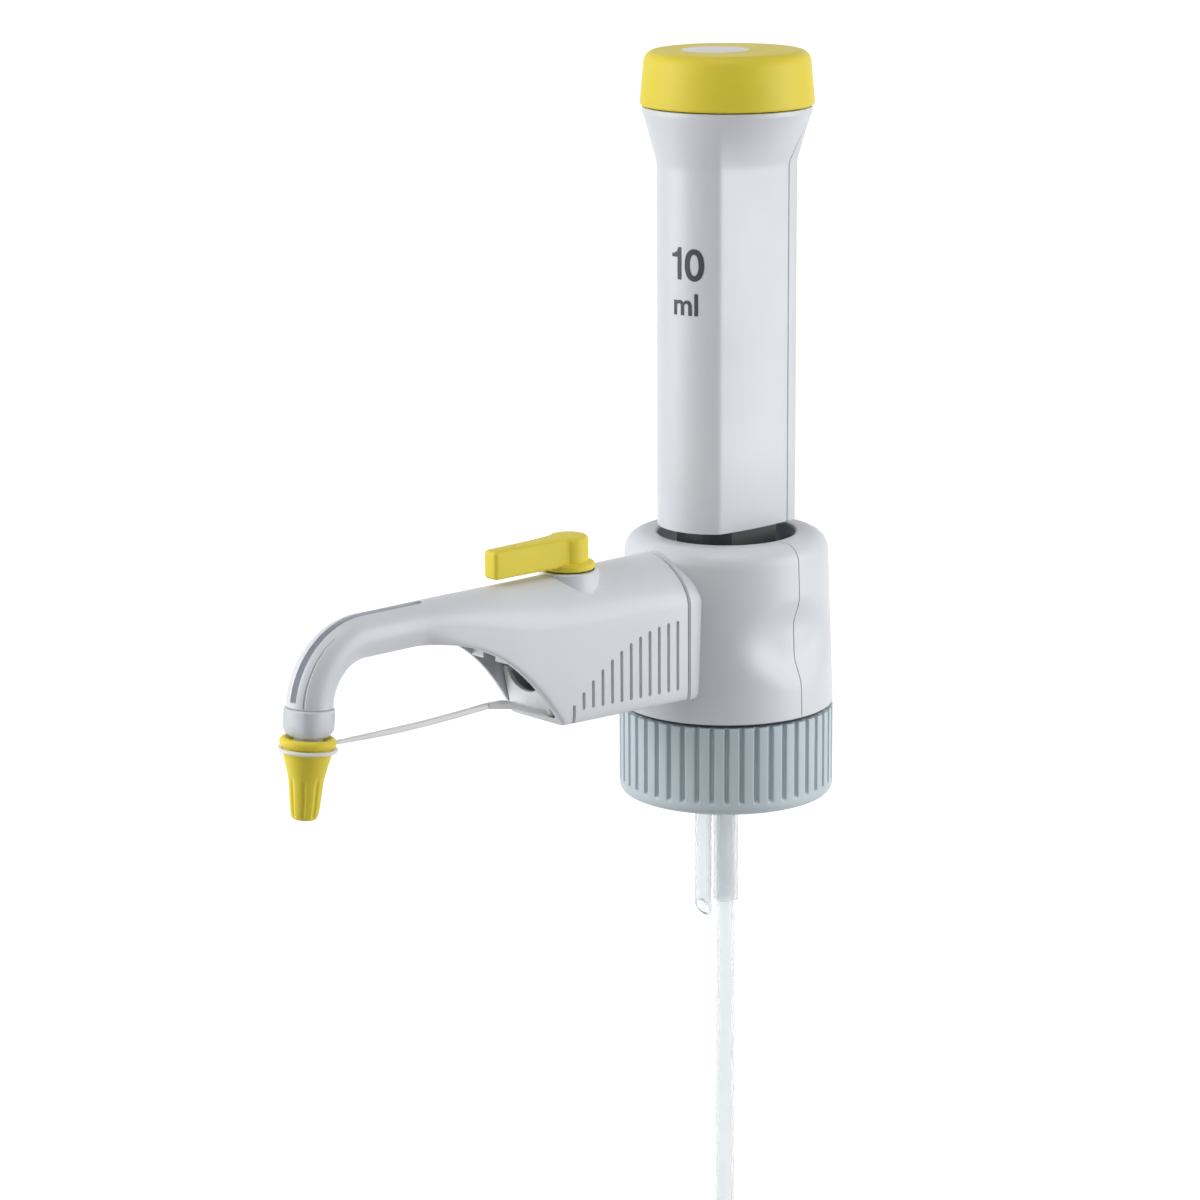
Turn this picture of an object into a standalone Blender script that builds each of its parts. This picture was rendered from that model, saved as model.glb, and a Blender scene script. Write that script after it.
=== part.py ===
"""A fixed-volume bottle top dispenser, piece by piece.

Metres, +Z up. The origin is on the dispenser's axis in the plane where a
flask's neck rim meets the seal. The nozzle points along -Y. Heights called
_TOP, _FOOT or _LEVEL are heights above that rim, and reaches are distances
from the axis along -Y.
"""
import math

import bmesh
import bpy
from mathutils import Matrix, Vector

MM = 0.001
GAP = 0.3 * MM                      # clearance between pieces that seat on each other

# Neck collar
THREAD_RADIUS = 22.5 * MM           # GL 45 neck thread, over its crests
THREAD_CLEARANCE = 0.35 * MM
SEAL_CLEARANCE = 0.9 * MM           # seal and flange stay clear of the thread
COLLAR_RADIUS = 28.35 * MM
COLLAR_SKIRT = 17.5 * MM            # how far the collar reaches below the rim
COLLAR_WEB = 2.5 * MM               # its ring-shaped roof
RIB_COUNT = 45
RIB_DEPTH = 0.9 * MM
RIB_SHARE = 0.6                     # part of each pitch that the rib takes
COLLAR_BAND = 3.0 * MM              # plain band under the ribs
COLLAR_FOOT_ROUND = 2.2 * MM
COLLAR_CHAMFER = 0.8 * MM

# Seal, base flange and filling valve on the axis
SEAL_THICKNESS = 1.2 * MM
SEAL_WIDTH = 5.0 * MM
FLANGE_THICKNESS = 1.7 * MM
SPIGOT_RADIUS = 15.0 * MM
BLOCK_GAP = 1.0 * MM                # dark line between the collar and the block
FLOOR_THICKNESS = 2.0 * MM
VALVE_RADIUS = 4.9 * MM
VALVE_LENGTH = 22.0 * MM
VALVE_HEAD_RADIUS = 5.7 * MM
VALVE_HEAD_HEIGHT = 1.9 * MM
VALVE_BORE = 1.3 * MM
BALL_RADIUS = 2.3 * MM
BALL_ROOM = 0.35 * MM               # clearance round a valve ball
BALL_CHAMBER = 7.0 * MM
OLIVE_LENGTH = 11.0 * MM
OLIVE_BARB = 0.35 * MM
WASHER_THICKNESS = 1.0 * MM

# Tubes that hang into the flask
FILL_TUBE_RADIUS = 3.3 * MM
FILL_TUBE_WALL = 0.6 * MM
FILL_TUBE_FOOT = -48.7 * MM
LOWER_TUBE_WALL = 0.7 * MM
LOWER_TUBE_FOOT = -158.0 * MM
LOWER_TUBE_OVERLAP = 30.0 * MM
RETURN_TUBE_RADIUS = 2.3 * MM
RETURN_TUBE_WALL = 0.7 * MM
RETURN_TUBE_FOOT = -51.0 * MM
RETURN_TUBE_REACH = 8.3 * MM
RETURN_TUBE_SOCKET = 7.0 * MM
RETURN_TUBE_SLANT = math.radians(40)

# Valve block and its two housing shells
BLOCK_HEIGHT = 45.6 * MM
BLOCK_FOOT_RADIUS = 28.2 * MM
BLOCK_TOP_RADIUS = 26.7 * MM
BLOCK_WALL = 2.0 * MM
SHOULDER_ROUND = 5.0 * MM
MOUTH_RADIUS = 18.0 * MM
MOUTH_LIP = 0.7 * MM
WELL_DEPTH = 5.6 * MM
DIMPLE_DEPTH = 2.4 * MM
DIMPLE_HEIGHT = 24.0 * MM
DIMPLE_LEVEL = 27.3 * MM
DIMPLE_FLAT = 0.3                   # share of the dimple that is evenly deep
DIMPLE_SPREAD = math.radians(40)     # from its middle round to its edge
CORE_STEP = 0.5 * MM                # the core stands back from the guide's outside
CORE_BORE = 2.6 * MM
PORT_LEVEL = 30.0 * MM              # height of the outlet passage
PORT_RADIUS = 6.0 * MM
PORT_REACH = 21.0 * MM
PORT_BORE = 1.4 * MM
VENT_RADIUS = 3.8 * MM
VENT_LEVEL = 17.0 * MM
VENT_PROUD = 1.4 * MM

# Glass cylinder, guide column, piston and rod
CYLINDER_BORE = 7.3 * MM
CYLINDER_WALL = 1.6 * MM
CYLINDER_SEAT = 5.0 * MM            # how deep the glass sits in the core
CYLINDER_SEAL = 1.4 * MM
STROKE = 60.0 * MM                  # 10 ml through a 14.6 mm bore
PISTON_LENGTH = 12.0 * MM
PISTON_START = 1.0 * MM
PISTON_LIP = 1.6 * MM
ROD_RADIUS = 3.0 * MM
GUIDE_RADIUS = 13.0 * MM
GUIDE_FLAT = 10.2 * MM              # half width over the two flats
GUIDE_SPARE = 2.0 * MM              # guide left above the pads at full lift
LID_THICKNESS = 2.5 * MM

# Sleeve, its flare and the cap on top
SLEEVE_WALL = 1.6 * MM
SLEEVE_CLEAR = 2.6 * MM             # air between the block's top and the sleeve
SLEEVE_ARC_RADIUS = 15.0 * MM
SLEEVE_ARC_REACH = 4.3 * MM         # the arcs' centres lie off the axis
SLEEVE_ARC_ANGLE = math.radians(50.8)
SLEEVE_SIDE_CROWN = 1.0 * MM
SLEEVE_SEAM = 10.5 * MM             # where the rear shell starts
SLEEVE_HEIGHT = 108.6 * MM
FLARE_HEIGHT = 15.5 * MM
FLARE_RIM = 1.2 * MM
FLARE_RADIUS = 21.9 * MM
CAP_RADIUS = 22.45 * MM
CAP_TOP_RADIUS = 21.5 * MM
CAP_HEIGHT = 13.9 * MM
CAP_ROUND = 2.6 * MM
CAP_LOWER_ROUND = 0.9 * MM
CAP_WALL = 2.4 * MM
CAP_SPIGOT = 2.7 * MM
CAP_SPIGOT_STEP = 4.7 * MM          # the spigot stands in from the cap's side
HOLDER_THICKNESS = 3.0 * MM
HOLDER_RADIUS = 15.7 * MM
NUT_HEIGHT = 3.6 * MM
NUT_RADIUS = 6.0 * MM
STOP_FLANGE = 3.0 * MM
STOP_FLANGE_RADIUS = 10.5 * MM
STOP_RADIUS = 5.5 * MM
PAD_HEIGHT = 6.0 * MM
PAD_RISE = 0.8 * MM

# Arm housing
JOINT_REACH = 27.0 * MM             # where the arm meets the block's saddle
SADDLE_PROUD = 0.3 * MM             # the saddle flares this far where it meets the block
ARM_FOOT = 13.8 * MM
ARM_CREST = 50.9 * MM
ARM_SPRING = 39.1 * MM              # height where the arch springs at the root
ARM_ROOT_HALF = 14.2 * MM
ARM_MID_REACH = 64.0 * MM
ARM_MID_HALF = 10.9 * MM
ARM_WALL = 1.8 * MM
BOSS_WALL = 1.3 * MM                # round the lever's barrel, at its top
BOSS_FLARE = 1.3 * MM               # more at its foot
ARCH_POWER = 1.7
FOOT_POWER = 24.0
FOOT_ROUND_START = 12.0 * MM        # past the mouth's start the foot grows round
SPOUT_RADIUS = 5.5 * MM
SPOUT_REACH = 108.0 * MM            # from here on the arm is a round spout
MOUTH_START = 66.9 * MM
MOUTH_POWER = 2.5
CAVITY_END = 97.0 * MM
MOUTH_RIB = 1.2 * MM
MOUTH_RIB_COUNT = 3
MOUTH_RIB_START = 77.0 * MM
MOUTH_RIB_PITCH = 5.2 * MM
MOUTH_RIB_RISE = 0.4 * MM           # the ribs stand this far inside the mouth's edge
BEND_RADIUS = 14.0 * MM
NOZZLE_TILT = math.radians(5)
NOZZLE_REACH = 140.7 * MM           # the nozzle's axis at the ferrule's foot
NOZZLE_LEVEL = 22.9 * MM
SPOUT_END_RADIUS = 5.85 * MM
SLIT_COUNT = 12
SLIT_PITCH = 3.02 * MM
SLIT_WIDTH = 0.95 * MM
SLIT_DEPTH = 1.0 * MM
SLIT_START = 30.9 * MM
SLIT_FOOT = 17.1 * MM
SLIT_TOP = 35.8 * MM
SLIT_FALL = 15.2                    # the slit tops fall by this times reach squared, per metre
SLOT_WIDTH = 2.0 * MM
SLOT_START = 105.0 * MM
OUTLET_TUBE_RADIUS = 1.3 * MM
OUTLET_TUBE_CLIMB = 27.0 * MM       # length over which the tube rises to the spout

# Purge valve and its lever
LEVER_REACH = 56.0 * MM
BARREL_RADIUS = 6.3 * MM
BARREL_FOOT = 22.0 * MM
BARREL_OUTLET = 8.0 * MM
BARREL_FLOOR = 3.0 * MM
BARREL_PORT_RADIUS = 4.5 * MM
STEM_RADIUS = 3.3 * MM
STEM_SEAL_DEPTH = 5.0 * MM          # under the barrel's top
STEM_SEAL_THICKNESS = 1.0 * MM
STEM_GROOVE = 0.7 * MM
LEVER_FLANGE_RADIUS = 6.7 * MM
LEVER_FLANGE = 1.7 * MM
LEVER_HUB_RADIUS = 5.1 * MM
LEVER_NECK_HALF = 3.2 * MM          # half width of the handle where it leaves the hub
LEVER_NECK_FILLET = 5.0 * MM        # length of the hollow between hub and handle
LEVER_HEIGHT = 8.5 * MM
LEVER_LENGTH = 26.4 * MM
LEVER_TIP_HALF = 2.4 * MM
LEVER_TIP_DROP = 0.6 * MM
LEVER_RISE = 1.1 * MM               # underside of the handle over the flange's foot

# Outlet valve
OUTLET_VALVE_REACH = 44.0 * MM
OUTLET_SEAT = 5.7 * MM
OUTLET_LIFT = 0.8 * MM
SPRING_COIL = 1.9 * MM
SPRING_WIRE = 0.25 * MM
SPRING_TURNS = 5

# Nozzle, screw cap and strap
FERRULE_RADIUS = 6.25 * MM
FERRULE_HEIGHT = 7.6 * MM
FERRULE_FOOT = 2.7 * MM             # under it the narrow threaded nozzle starts
NOZZLE_RADIUS = 3.5 * MM
NOZZLE_LENGTH = 11.0 * MM
TIP_LENGTH = 16.0 * MM
CAP_RING_RADIUS = 7.75 * MM
CAP_RING_HEIGHT = 2.4 * MM
CAP_RING_RISE = 0.3 * MM
SCREW_CAP_LENGTH = 20.0 * MM
SCREW_CAP_SHOULDER = 5.9 * MM
SCREW_CAP_WAIST = 4.6 * MM
SCREW_CAP_FOOT = 3.95 * MM
SCREW_CAP_END = 3.1 * MM
SCREW_CAP_ROUND = 0.8 * MM
FLUTE_COUNT = 8
FLUTE_RADIUS = 1.6 * MM
STRAP_RING_RADIUS = 7.9 * MM
STRAP_RING_HEIGHT = 0.9 * MM
STRAP_HALF = 0.8 * MM
STRAP_FAR_REACH = 84.0 * MM
STRAP_FAR_LEVEL = 20.6 * MM
ANCHOR_HALF = 4.0 * MM
ANCHOR_HOLD = 7.0 * MM              # how far the tongue lies on the arm's floor
ANCHOR_THICKNESS = 1.8 * MM
HOOK_SETBACK = 5.1 * MM             # from the mouth's start out to the hook's middle
HOOK_LEVEL = 25.8 * MM
HOOK_NOTCH = 2.7 * MM               # radius of its round notch
HOOK_NOSE = 7.4 * MM                # from its middle out to its nose
HOOK_WEB = 1.9 * MM                 # half its thickness

# Heights that follow from the sizes above
FLANGE_FOOT = SEAL_THICKNESS + GAP
FLANGE_TOP = FLANGE_FOOT + FLANGE_THICKNESS
COLLAR_TOP = FLANGE_TOP + GAP + COLLAR_WEB
BLOCK_FOOT = COLLAR_TOP + BLOCK_GAP
BLOCK_TOP = BLOCK_FOOT + BLOCK_HEIGHT
SPIGOT_TOP = BLOCK_FOOT + FLOOR_THICKNESS
CORE_FOOT = SPIGOT_TOP + GAP
WELL_FLOOR = BLOCK_TOP - WELL_DEPTH
CORE_TOP = WELL_FLOOR - BLOCK_WALL - GAP
CORE_RADIUS = GUIDE_RADIUS - CORE_STEP
GLASS_FOOT = CORE_TOP - CYLINDER_SEAT
SOCKET_FOOT = GLASS_FOOT - CYLINDER_SEAL - 2 * GAP
GLASS_RADIUS = CYLINDER_BORE + CYLINDER_WALL
PISTON_FOOT = GLASS_FOOT + PISTON_START
GLASS_TOP = PISTON_FOOT + STROKE + PISTON_LENGTH + 2 * GAP
LOWER_TUBE_RADIUS = FILL_TUBE_RADIUS - FILL_TUBE_WALL - GAP
OLIVE_RADIUS = FILL_TUBE_RADIUS - FILL_TUBE_WALL - GAP
VALVE_FOOT = FLANGE_FOOT - WASHER_THICKNESS - 2 * GAP - VALVE_HEAD_HEIGHT
VALVE_TOP = VALVE_FOOT + VALVE_HEAD_HEIGHT + VALVE_LENGTH
BALL_LEVEL = (VALVE_TOP - BALL_CHAMBER
              + math.sqrt(BALL_RADIUS ** 2 - VALVE_BORE ** 2) + BALL_ROOM)
SLEEVE_FOOT = BLOCK_TOP + SLEEVE_CLEAR
GUIDE_TOP = SLEEVE_FOOT + PAD_RISE + PAD_HEIGHT + STROKE + GUIDE_SPARE
SLEEVE_TOP = SLEEVE_FOOT + SLEEVE_HEIGHT
CAP_FOOT = SLEEVE_TOP + GAP
CAP_TOP = CAP_FOOT + CAP_HEIGHT
HOLDER_TOP = CAP_FOOT - CAP_SPIGOT - GAP
HOLDER_FOOT = HOLDER_TOP - HOLDER_THICKNESS
LEVER_FOOT = ARM_CREST + 0.5 * MM
BARREL_TOP = ARM_CREST
SPOUT_LEVEL = ARM_CREST - SPOUT_RADIUS
NOZZLE_POINT = Vector((0, -NOZZLE_REACH, NOZZLE_LEVEL))
NOZZLE_UP = Vector((0, math.sin(NOZZLE_TILT), math.cos(NOZZLE_TILT)))


def clear_scene():
    """Remove every object of the scene."""
    for item in list(bpy.data.objects):
        bpy.data.objects.remove(item, do_unlink=True)


def make_collection(name):
    """Return a new collection linked to the scene."""
    group = bpy.data.collections.new(name)
    bpy.context.scene.collection.children.link(group)
    return group


def make_material(name, color, roughness, alpha=1.0):
    """Return a plain Principled material."""
    material = bpy.data.materials.new(name)
    material.use_nodes = True
    shader = material.node_tree.nodes["Principled BSDF"]
    shader.inputs["Base Color"].default_value = (*color, 1.0)
    shader.inputs["Roughness"].default_value = roughness
    shader.inputs["Metallic"].default_value = 0.0
    shader.inputs["Alpha"].default_value = alpha
    return material


clear_scene()
PARTS = make_collection("bottle_top_dispenser")
CUTTERS = make_collection("cutters")
HOUSING = make_material("housing_plastic", (0.66, 0.69, 0.73), 0.42)
BLUE_GREY = make_material("collar_plastic", (0.34, 0.41, 0.44), 0.5)
YELLOW = make_material("yellow_plastic", (0.78, 0.63, 0.06), 0.4)
DARK = make_material("dark_plastic", (0.09, 0.11, 0.12), 0.5)
FLUOROPOLYMER = make_material("fluoropolymer", (0.86, 0.87, 0.87), 0.35, 0.75)
GLASS = make_material("borosilicate_glass", (0.95, 0.97, 0.98), 0.03, 0.35)
CERAMIC = make_material("ceramic", (0.93, 0.92, 0.9), 0.2)
SPRING_METAL = make_material("spring_metal", (0.7, 0.7, 0.72), 0.25)


def add_object(name, mesh, material):
    """Put a mesh into the model under the given name."""
    item = bpy.data.objects.new(name, mesh)
    if material is None:
        CUTTERS.objects.link(item)
        item.hide_render = True
        item.display_type = 'WIRE'
    else:
        PARTS.objects.link(item)
        mesh.materials.append(material)
    return item


def mesh_from(name, bm):
    """Turn a bmesh into a mesh with its faces pointing out."""
    bmesh.ops.recalc_face_normals(bm, faces=bm.faces)
    mesh = bpy.data.meshes.new(name)
    bm.to_mesh(mesh)
    bm.free()
    return mesh


def smooth(item, angle=35):
    """Shade a round piece smooth up to the given edge angle."""
    item.data.shade_smooth()
    item.data.set_sharp_from_angle(angle=math.radians(angle))


def turned(name, profile, material, steps=32, ring=True):
    """Turn a profile of (radius, height) points round Z.

    The points run down the outside. A ring's profile is closed and stays
    off the axis; any other profile starts and ends on the axis.
    """
    bm = bmesh.new()
    points = [bm.verts.new((radius, 0, height)) for radius, height in profile]
    for first, second in zip(points, points[1:]):
        bm.edges.new((first, second))
    if ring:
        bm.edges.new((points[-1], points[0]))
    mesh = bpy.data.meshes.new(name)
    bm.to_mesh(mesh)
    bm.free()
    item = add_object(name, mesh, material)
    screw = item.modifiers.new("turn", 'SCREW')
    screw.steps = steps
    screw.render_steps = steps
    screw.use_merge_vertices = True
    screw.merge_threshold = 0.00001
    return item


def cut(item, *cutters):
    """Cut the cutters out of a piece."""
    for cutter in cutters:
        boolean = item.modifiers.new("cut", 'BOOLEAN')
        boolean.operation = 'DIFFERENCE'
        boolean.object = cutter


def join(item, *others):
    """Join cutter shapes onto a piece as one solid."""
    for other in others:
        boolean = item.modifiers.new("join", 'BOOLEAN')
        boolean.operation = 'UNION'
        boolean.object = other


def box(name, low, high, material=None):
    """A box between two corners."""
    bm = bmesh.new()
    size = Vector(high) - Vector(low)
    centre = (Vector(high) + Vector(low)) / 2
    matrix = Matrix.Translation(centre) @ Matrix.Diagonal((*size, 1))
    bmesh.ops.create_cube(bm, size=1.0, matrix=matrix)
    return add_object(name, mesh_from(name, bm), material)


def loft(name, rings, material):
    """Skin closed rings of equal length and close both ends."""
    bm = bmesh.new()
    rows = [[bm.verts.new(point) for point in ring] for ring in rings]
    count = len(rows[0])
    for lower, upper in zip(rows, rows[1:]):
        for i in range(count):
            j = (i + 1) % count
            bm.faces.new((lower[i], lower[j], upper[j], upper[i]))
    bm.faces.new(rows[0])
    bm.faces.new(rows[-1])
    return add_object(name, mesh_from(name, bm), material)


def shell(name, rows, wall, material):
    """An open surface through rows of points, thickened inwards."""
    bm = bmesh.new()
    grid = [[bm.verts.new(point) for point in row] for row in rows]
    for lower, upper in zip(grid, grid[1:]):
        for i in range(len(lower) - 1):
            bm.faces.new((lower[i], lower[i + 1], upper[i + 1], upper[i]))
    mesh = bpy.data.meshes.new(name)
    bm.to_mesh(mesh)
    bm.free()
    item = add_object(name, mesh, material)
    solid = item.modifiers.new("wall", 'SOLIDIFY')
    solid.thickness = wall
    solid.offset = -1
    solid.use_even_offset = True
    return item


def along_arm(item, reach=0.0, level=0.0):
    """Lay a turned piece so that its +Z runs along the arm, towards -Y."""
    item.location = (0, -reach, level)
    item.rotation_euler = (math.radians(90), 0, 0)
    return item


def on_nozzle(item):
    """Stand a turned piece on the nozzle's tilted axis."""
    item.location = NOZZLE_POINT
    item.rotation_euler = (-NOZZLE_TILT, 0, 0)
    return item


def round_corner(centre, radius, start, end, steps=5):
    """Points of an arc in a profile, angles in degrees."""
    points = []
    for i in range(steps + 1):
        angle = math.radians(start + (end - start) * i / steps)
        points.append((centre[0] + radius * math.cos(angle), centre[1] + radius * math.sin(angle)))
    return points


# Neck collar

def rib_ring(height, radius, depth):
    """One level of the collar's ribbed outside."""
    points = []
    pitch = math.tau / RIB_COUNT
    for rib in range(RIB_COUNT):
        for share, drop in ((-RIB_SHARE / 2, 0), (RIB_SHARE / 2, 0), (RIB_SHARE / 2 + 0.08, depth),
                            (1 - RIB_SHARE / 2 - 0.08, depth)):
            angle = (rib + share) * pitch
            points.append(((radius - drop) * math.cos(angle), (radius - drop) * math.sin(angle), height))
    return points


def make_collar():
    """Ribbed collar: a skirt round the neck under a ring-shaped roof."""
    foot = -COLLAR_SKIRT
    top = COLLAR_TOP
    chamfer = COLLAR_CHAMFER
    rib_foot = foot + COLLAR_BAND
    levels = [
        (foot, COLLAR_RADIUS - COLLAR_FOOT_ROUND, 0),
        (foot + 0.3 * COLLAR_FOOT_ROUND, COLLAR_RADIUS - 0.3 * COLLAR_FOOT_ROUND, 0),
        (foot + COLLAR_FOOT_ROUND, COLLAR_RADIUS, 0),
        (rib_foot, COLLAR_RADIUS, 0),
        (rib_foot + RIB_DEPTH, COLLAR_RADIUS, RIB_DEPTH),
        (top - chamfer, COLLAR_RADIUS, RIB_DEPTH),
        (top, COLLAR_RADIUS - chamfer - RIB_DEPTH / 2, RIB_DEPTH / 2),
    ]
    collar = loft("mounting_collar", [rib_ring(*level) for level in levels], BLUE_GREY)
    bore = THREAD_RADIUS + THREAD_CLEARANCE
    socket = turned("collar_socket", [
        (0, FLANGE_TOP + GAP),
        (bore, FLANGE_TOP + GAP),
        (bore, foot - chamfer),
        (0, foot - chamfer),
    ], None, ring=False)
    neck = turned("collar_hole", [
        (0, top + chamfer),
        (SPIGOT_RADIUS + GAP, top + chamfer),
        (SPIGOT_RADIUS + GAP, FLANGE_FOOT),
        (0, FLANGE_FOOT),
    ], None, ring=False)
    cut(collar, socket, neck)


def return_tube_cutter(name, foot, top):
    """A round cutter where the return tube passes."""
    cutter = turned(name, [
        (0, top), (RETURN_TUBE_RADIUS + GAP, top), (RETURN_TUBE_RADIUS + GAP, foot), (0, foot),
    ], None, steps=24, ring=False)
    cutter.location = (0, -RETURN_TUBE_REACH, 0)
    return cutter


def make_base():
    """Seal, base flange, filling valve and what hangs from it."""
    seal_radius = THREAD_RADIUS - SEAL_CLEARANCE
    turned("neck_seal", [
        (seal_radius, SEAL_THICKNESS), (seal_radius, 0),
        (seal_radius - SEAL_WIDTH, 0), (seal_radius - SEAL_WIDTH, SEAL_THICKNESS),
    ], FLUOROPOLYMER)

    flange = turned("base_flange", [
        (SPIGOT_RADIUS, SPIGOT_TOP), (SPIGOT_RADIUS, FLANGE_TOP), (seal_radius, FLANGE_TOP),
        (seal_radius, FLANGE_FOOT), (VALVE_RADIUS + GAP, FLANGE_FOOT), (VALVE_RADIUS + GAP, SPIGOT_TOP),
    ], FLUOROPOLYMER)
    cut(flange, return_tube_cutter("flange_return_hole", FLANGE_FOOT - MM, SPIGOT_TOP + MM))

    head_top = VALVE_FOOT + VALVE_HEAD_HEIGHT
    chamber_foot = VALVE_TOP - BALL_CHAMBER
    olive_foot = VALVE_FOOT - OLIVE_LENGTH
    waist = OLIVE_RADIUS - OLIVE_BARB
    olive_bore = VALVE_BORE - OLIVE_BARB
    profile = [
        (VALVE_RADIUS, VALVE_TOP), (VALVE_RADIUS, head_top), (VALVE_HEAD_RADIUS, head_top),
        (VALVE_HEAD_RADIUS, VALVE_FOOT), (OLIVE_RADIUS, VALVE_FOOT),
    ]
    for i in range(2):
        level = olive_foot + (2 - i) * OLIVE_LENGTH / 3
        profile += [(OLIVE_RADIUS, level), (waist, level - OLIVE_LENGTH / 4)]
    profile += [
        (waist, olive_foot), (olive_bore, olive_foot),
        (olive_bore, VALVE_FOOT), (VALVE_BORE, VALVE_FOOT + MM), (VALVE_BORE, chamber_foot),
        (BALL_RADIUS + BALL_ROOM, chamber_foot), (BALL_RADIUS + BALL_ROOM, VALVE_TOP),
    ]
    turned("filling_valve_body", profile, FLUOROPOLYMER, steps=20)
    turned("filling_valve_washer", [
        (VALVE_HEAD_RADIUS, head_top + GAP + WASHER_THICKNESS), (VALVE_HEAD_RADIUS, head_top + GAP),
        (VALVE_RADIUS + GAP, head_top + GAP), (VALVE_RADIUS + GAP, head_top + GAP + WASHER_THICKNESS),
    ], DARK, steps=20)
    make_ball("filling_valve_ball", (0, 0, BALL_LEVEL))

    tube_top = VALVE_FOOT - GAP
    inner = FILL_TUBE_RADIUS - FILL_TUBE_WALL
    turned("filling_tube_upper", [
        (FILL_TUBE_RADIUS, tube_top), (FILL_TUBE_RADIUS, FILL_TUBE_FOOT),
        (inner, FILL_TUBE_FOOT), (inner, tube_top),
    ], FLUOROPOLYMER, steps=24)
    lower_top = FILL_TUBE_FOOT + LOWER_TUBE_OVERLAP
    inner = LOWER_TUBE_RADIUS - LOWER_TUBE_WALL
    turned("filling_tube_lower", [
        (LOWER_TUBE_RADIUS, lower_top), (LOWER_TUBE_RADIUS, LOWER_TUBE_FOOT),
        (inner, LOWER_TUBE_FOOT), (inner, lower_top),
    ], FLUOROPOLYMER, steps=20)

    return_top = CORE_FOOT + RETURN_TUBE_SOCKET - GAP
    inner = RETURN_TUBE_RADIUS - RETURN_TUBE_WALL
    tube = turned("recirculation_tube", [
        (RETURN_TUBE_RADIUS, return_top), (RETURN_TUBE_RADIUS, RETURN_TUBE_FOOT),
        (inner, RETURN_TUBE_FOOT), (inner, return_top),
    ], FLUOROPOLYMER, steps=20)
    tube.location = (0, -RETURN_TUBE_REACH, 0)
    slant = box("return_tube_slant", (-5 * MM, -5 * MM, -10 * MM), (5 * MM, 5 * MM, 0))
    rise = RETURN_TUBE_RADIUS * math.tan(RETURN_TUBE_SLANT)
    slant.location = (0, -RETURN_TUBE_REACH, RETURN_TUBE_FOOT + rise)
    slant.rotation_euler = (0, RETURN_TUBE_SLANT, 0)
    cut(tube, slant)


def make_ball(name, place):
    """One valve ball."""
    bm = bmesh.new()
    bmesh.ops.create_uvsphere(bm, u_segments=12, v_segments=8, radius=BALL_RADIUS)
    ball = add_object(name, mesh_from(name, bm), CERAMIC)
    ball.location = place
    smooth(ball)


# Valve block

def make_core():
    """Turned core with the filling bore, the outlet port and the cylinder's socket."""
    throat = VALVE_TOP + GAP
    throat_length = 3.0 * MM
    socket = GLASS_RADIUS + GAP
    core = turned("valve_block_core", [
        (CORE_RADIUS, CORE_TOP), (CORE_RADIUS, CORE_FOOT), (VALVE_RADIUS + GAP, CORE_FOOT),
        (VALVE_RADIUS + GAP, throat), (VALVE_BORE, throat), (VALVE_BORE, throat + throat_length),
        (CORE_BORE, throat + throat_length), (CORE_BORE, SOCKET_FOOT), (socket, SOCKET_FOOT),
        (socket, CORE_TOP),
    ], FLUOROPOLYMER, steps=28)
    port = along_arm(turned("core_port", [
        (0, PORT_REACH), (PORT_RADIUS, PORT_REACH),
        (PORT_RADIUS, CORE_BORE + 2 * MM), (0, CORE_BORE + 2 * MM),
    ], None, steps=20, ring=False), level=PORT_LEVEL)
    passage = along_arm(turned("core_passage", [
        (0, PORT_REACH + MM), (PORT_BORE, PORT_REACH + MM), (PORT_BORE, 0), (0, 0),
    ], None, steps=16, ring=False), level=PORT_LEVEL)
    socket_top = CORE_FOOT + RETURN_TUBE_SOCKET
    join(core, port)
    cut(core, passage, return_tube_cutter("core_return_socket", CORE_FOOT - MM, socket_top))


def shell_profile():
    """Section of the round housing: outside, shoulder, mouth, well floor and inside."""
    corner = (BLOCK_TOP_RADIUS - SHOULDER_ROUND, BLOCK_TOP - SHOULDER_ROUND)
    inner_round = SHOULDER_ROUND - BLOCK_WALL
    neck = MOUTH_RADIUS + BLOCK_WALL
    hole = GUIDE_RADIUS + GAP
    lip = (MOUTH_RADIUS + MOUTH_LIP, BLOCK_TOP - MOUTH_LIP)
    levels = 10
    wall = [(BLOCK_FOOT_RADIUS + (BLOCK_TOP_RADIUS - BLOCK_FOOT_RADIUS) * i / levels,
             BLOCK_FOOT + (corner[1] - BLOCK_FOOT) * i / levels) for i in range(levels)]
    inner_foot = BLOCK_FOOT + FLOOR_THICKNESS
    inner = [(radius - BLOCK_WALL, max(height, inner_foot)) for radius, height in wall[::-1]]
    profile = wall + round_corner(corner, SHOULDER_ROUND, 0, 90, 4)
    profile += round_corner(lip, MOUTH_LIP, 90, 180, 1)
    profile += [(MOUTH_RADIUS, WELL_FLOOR), (hole, WELL_FLOOR), (hole, WELL_FLOOR - BLOCK_WALL)]
    profile += [(neck, WELL_FLOOR - BLOCK_WALL), (neck, BLOCK_TOP - BLOCK_WALL)]
    profile += round_corner(corner, inner_round, 90, 0, 1) + inner
    profile += [(SPIGOT_RADIUS + GAP, inner_foot), (SPIGOT_RADIUS + GAP, BLOCK_FOOT)]
    return profile


def dimple_depth(across, height):
    """How far a finger dimple presses the wall in, at an angle and a height from its middle."""
    upright = (height - DIMPLE_LEVEL) / (DIMPLE_HEIGHT / 2)
    return DIMPLE_DEPTH * (1 - blend(DIMPLE_FLAT, 1.0, math.hypot(across / DIMPLE_SPREAD, upright)))


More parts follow.
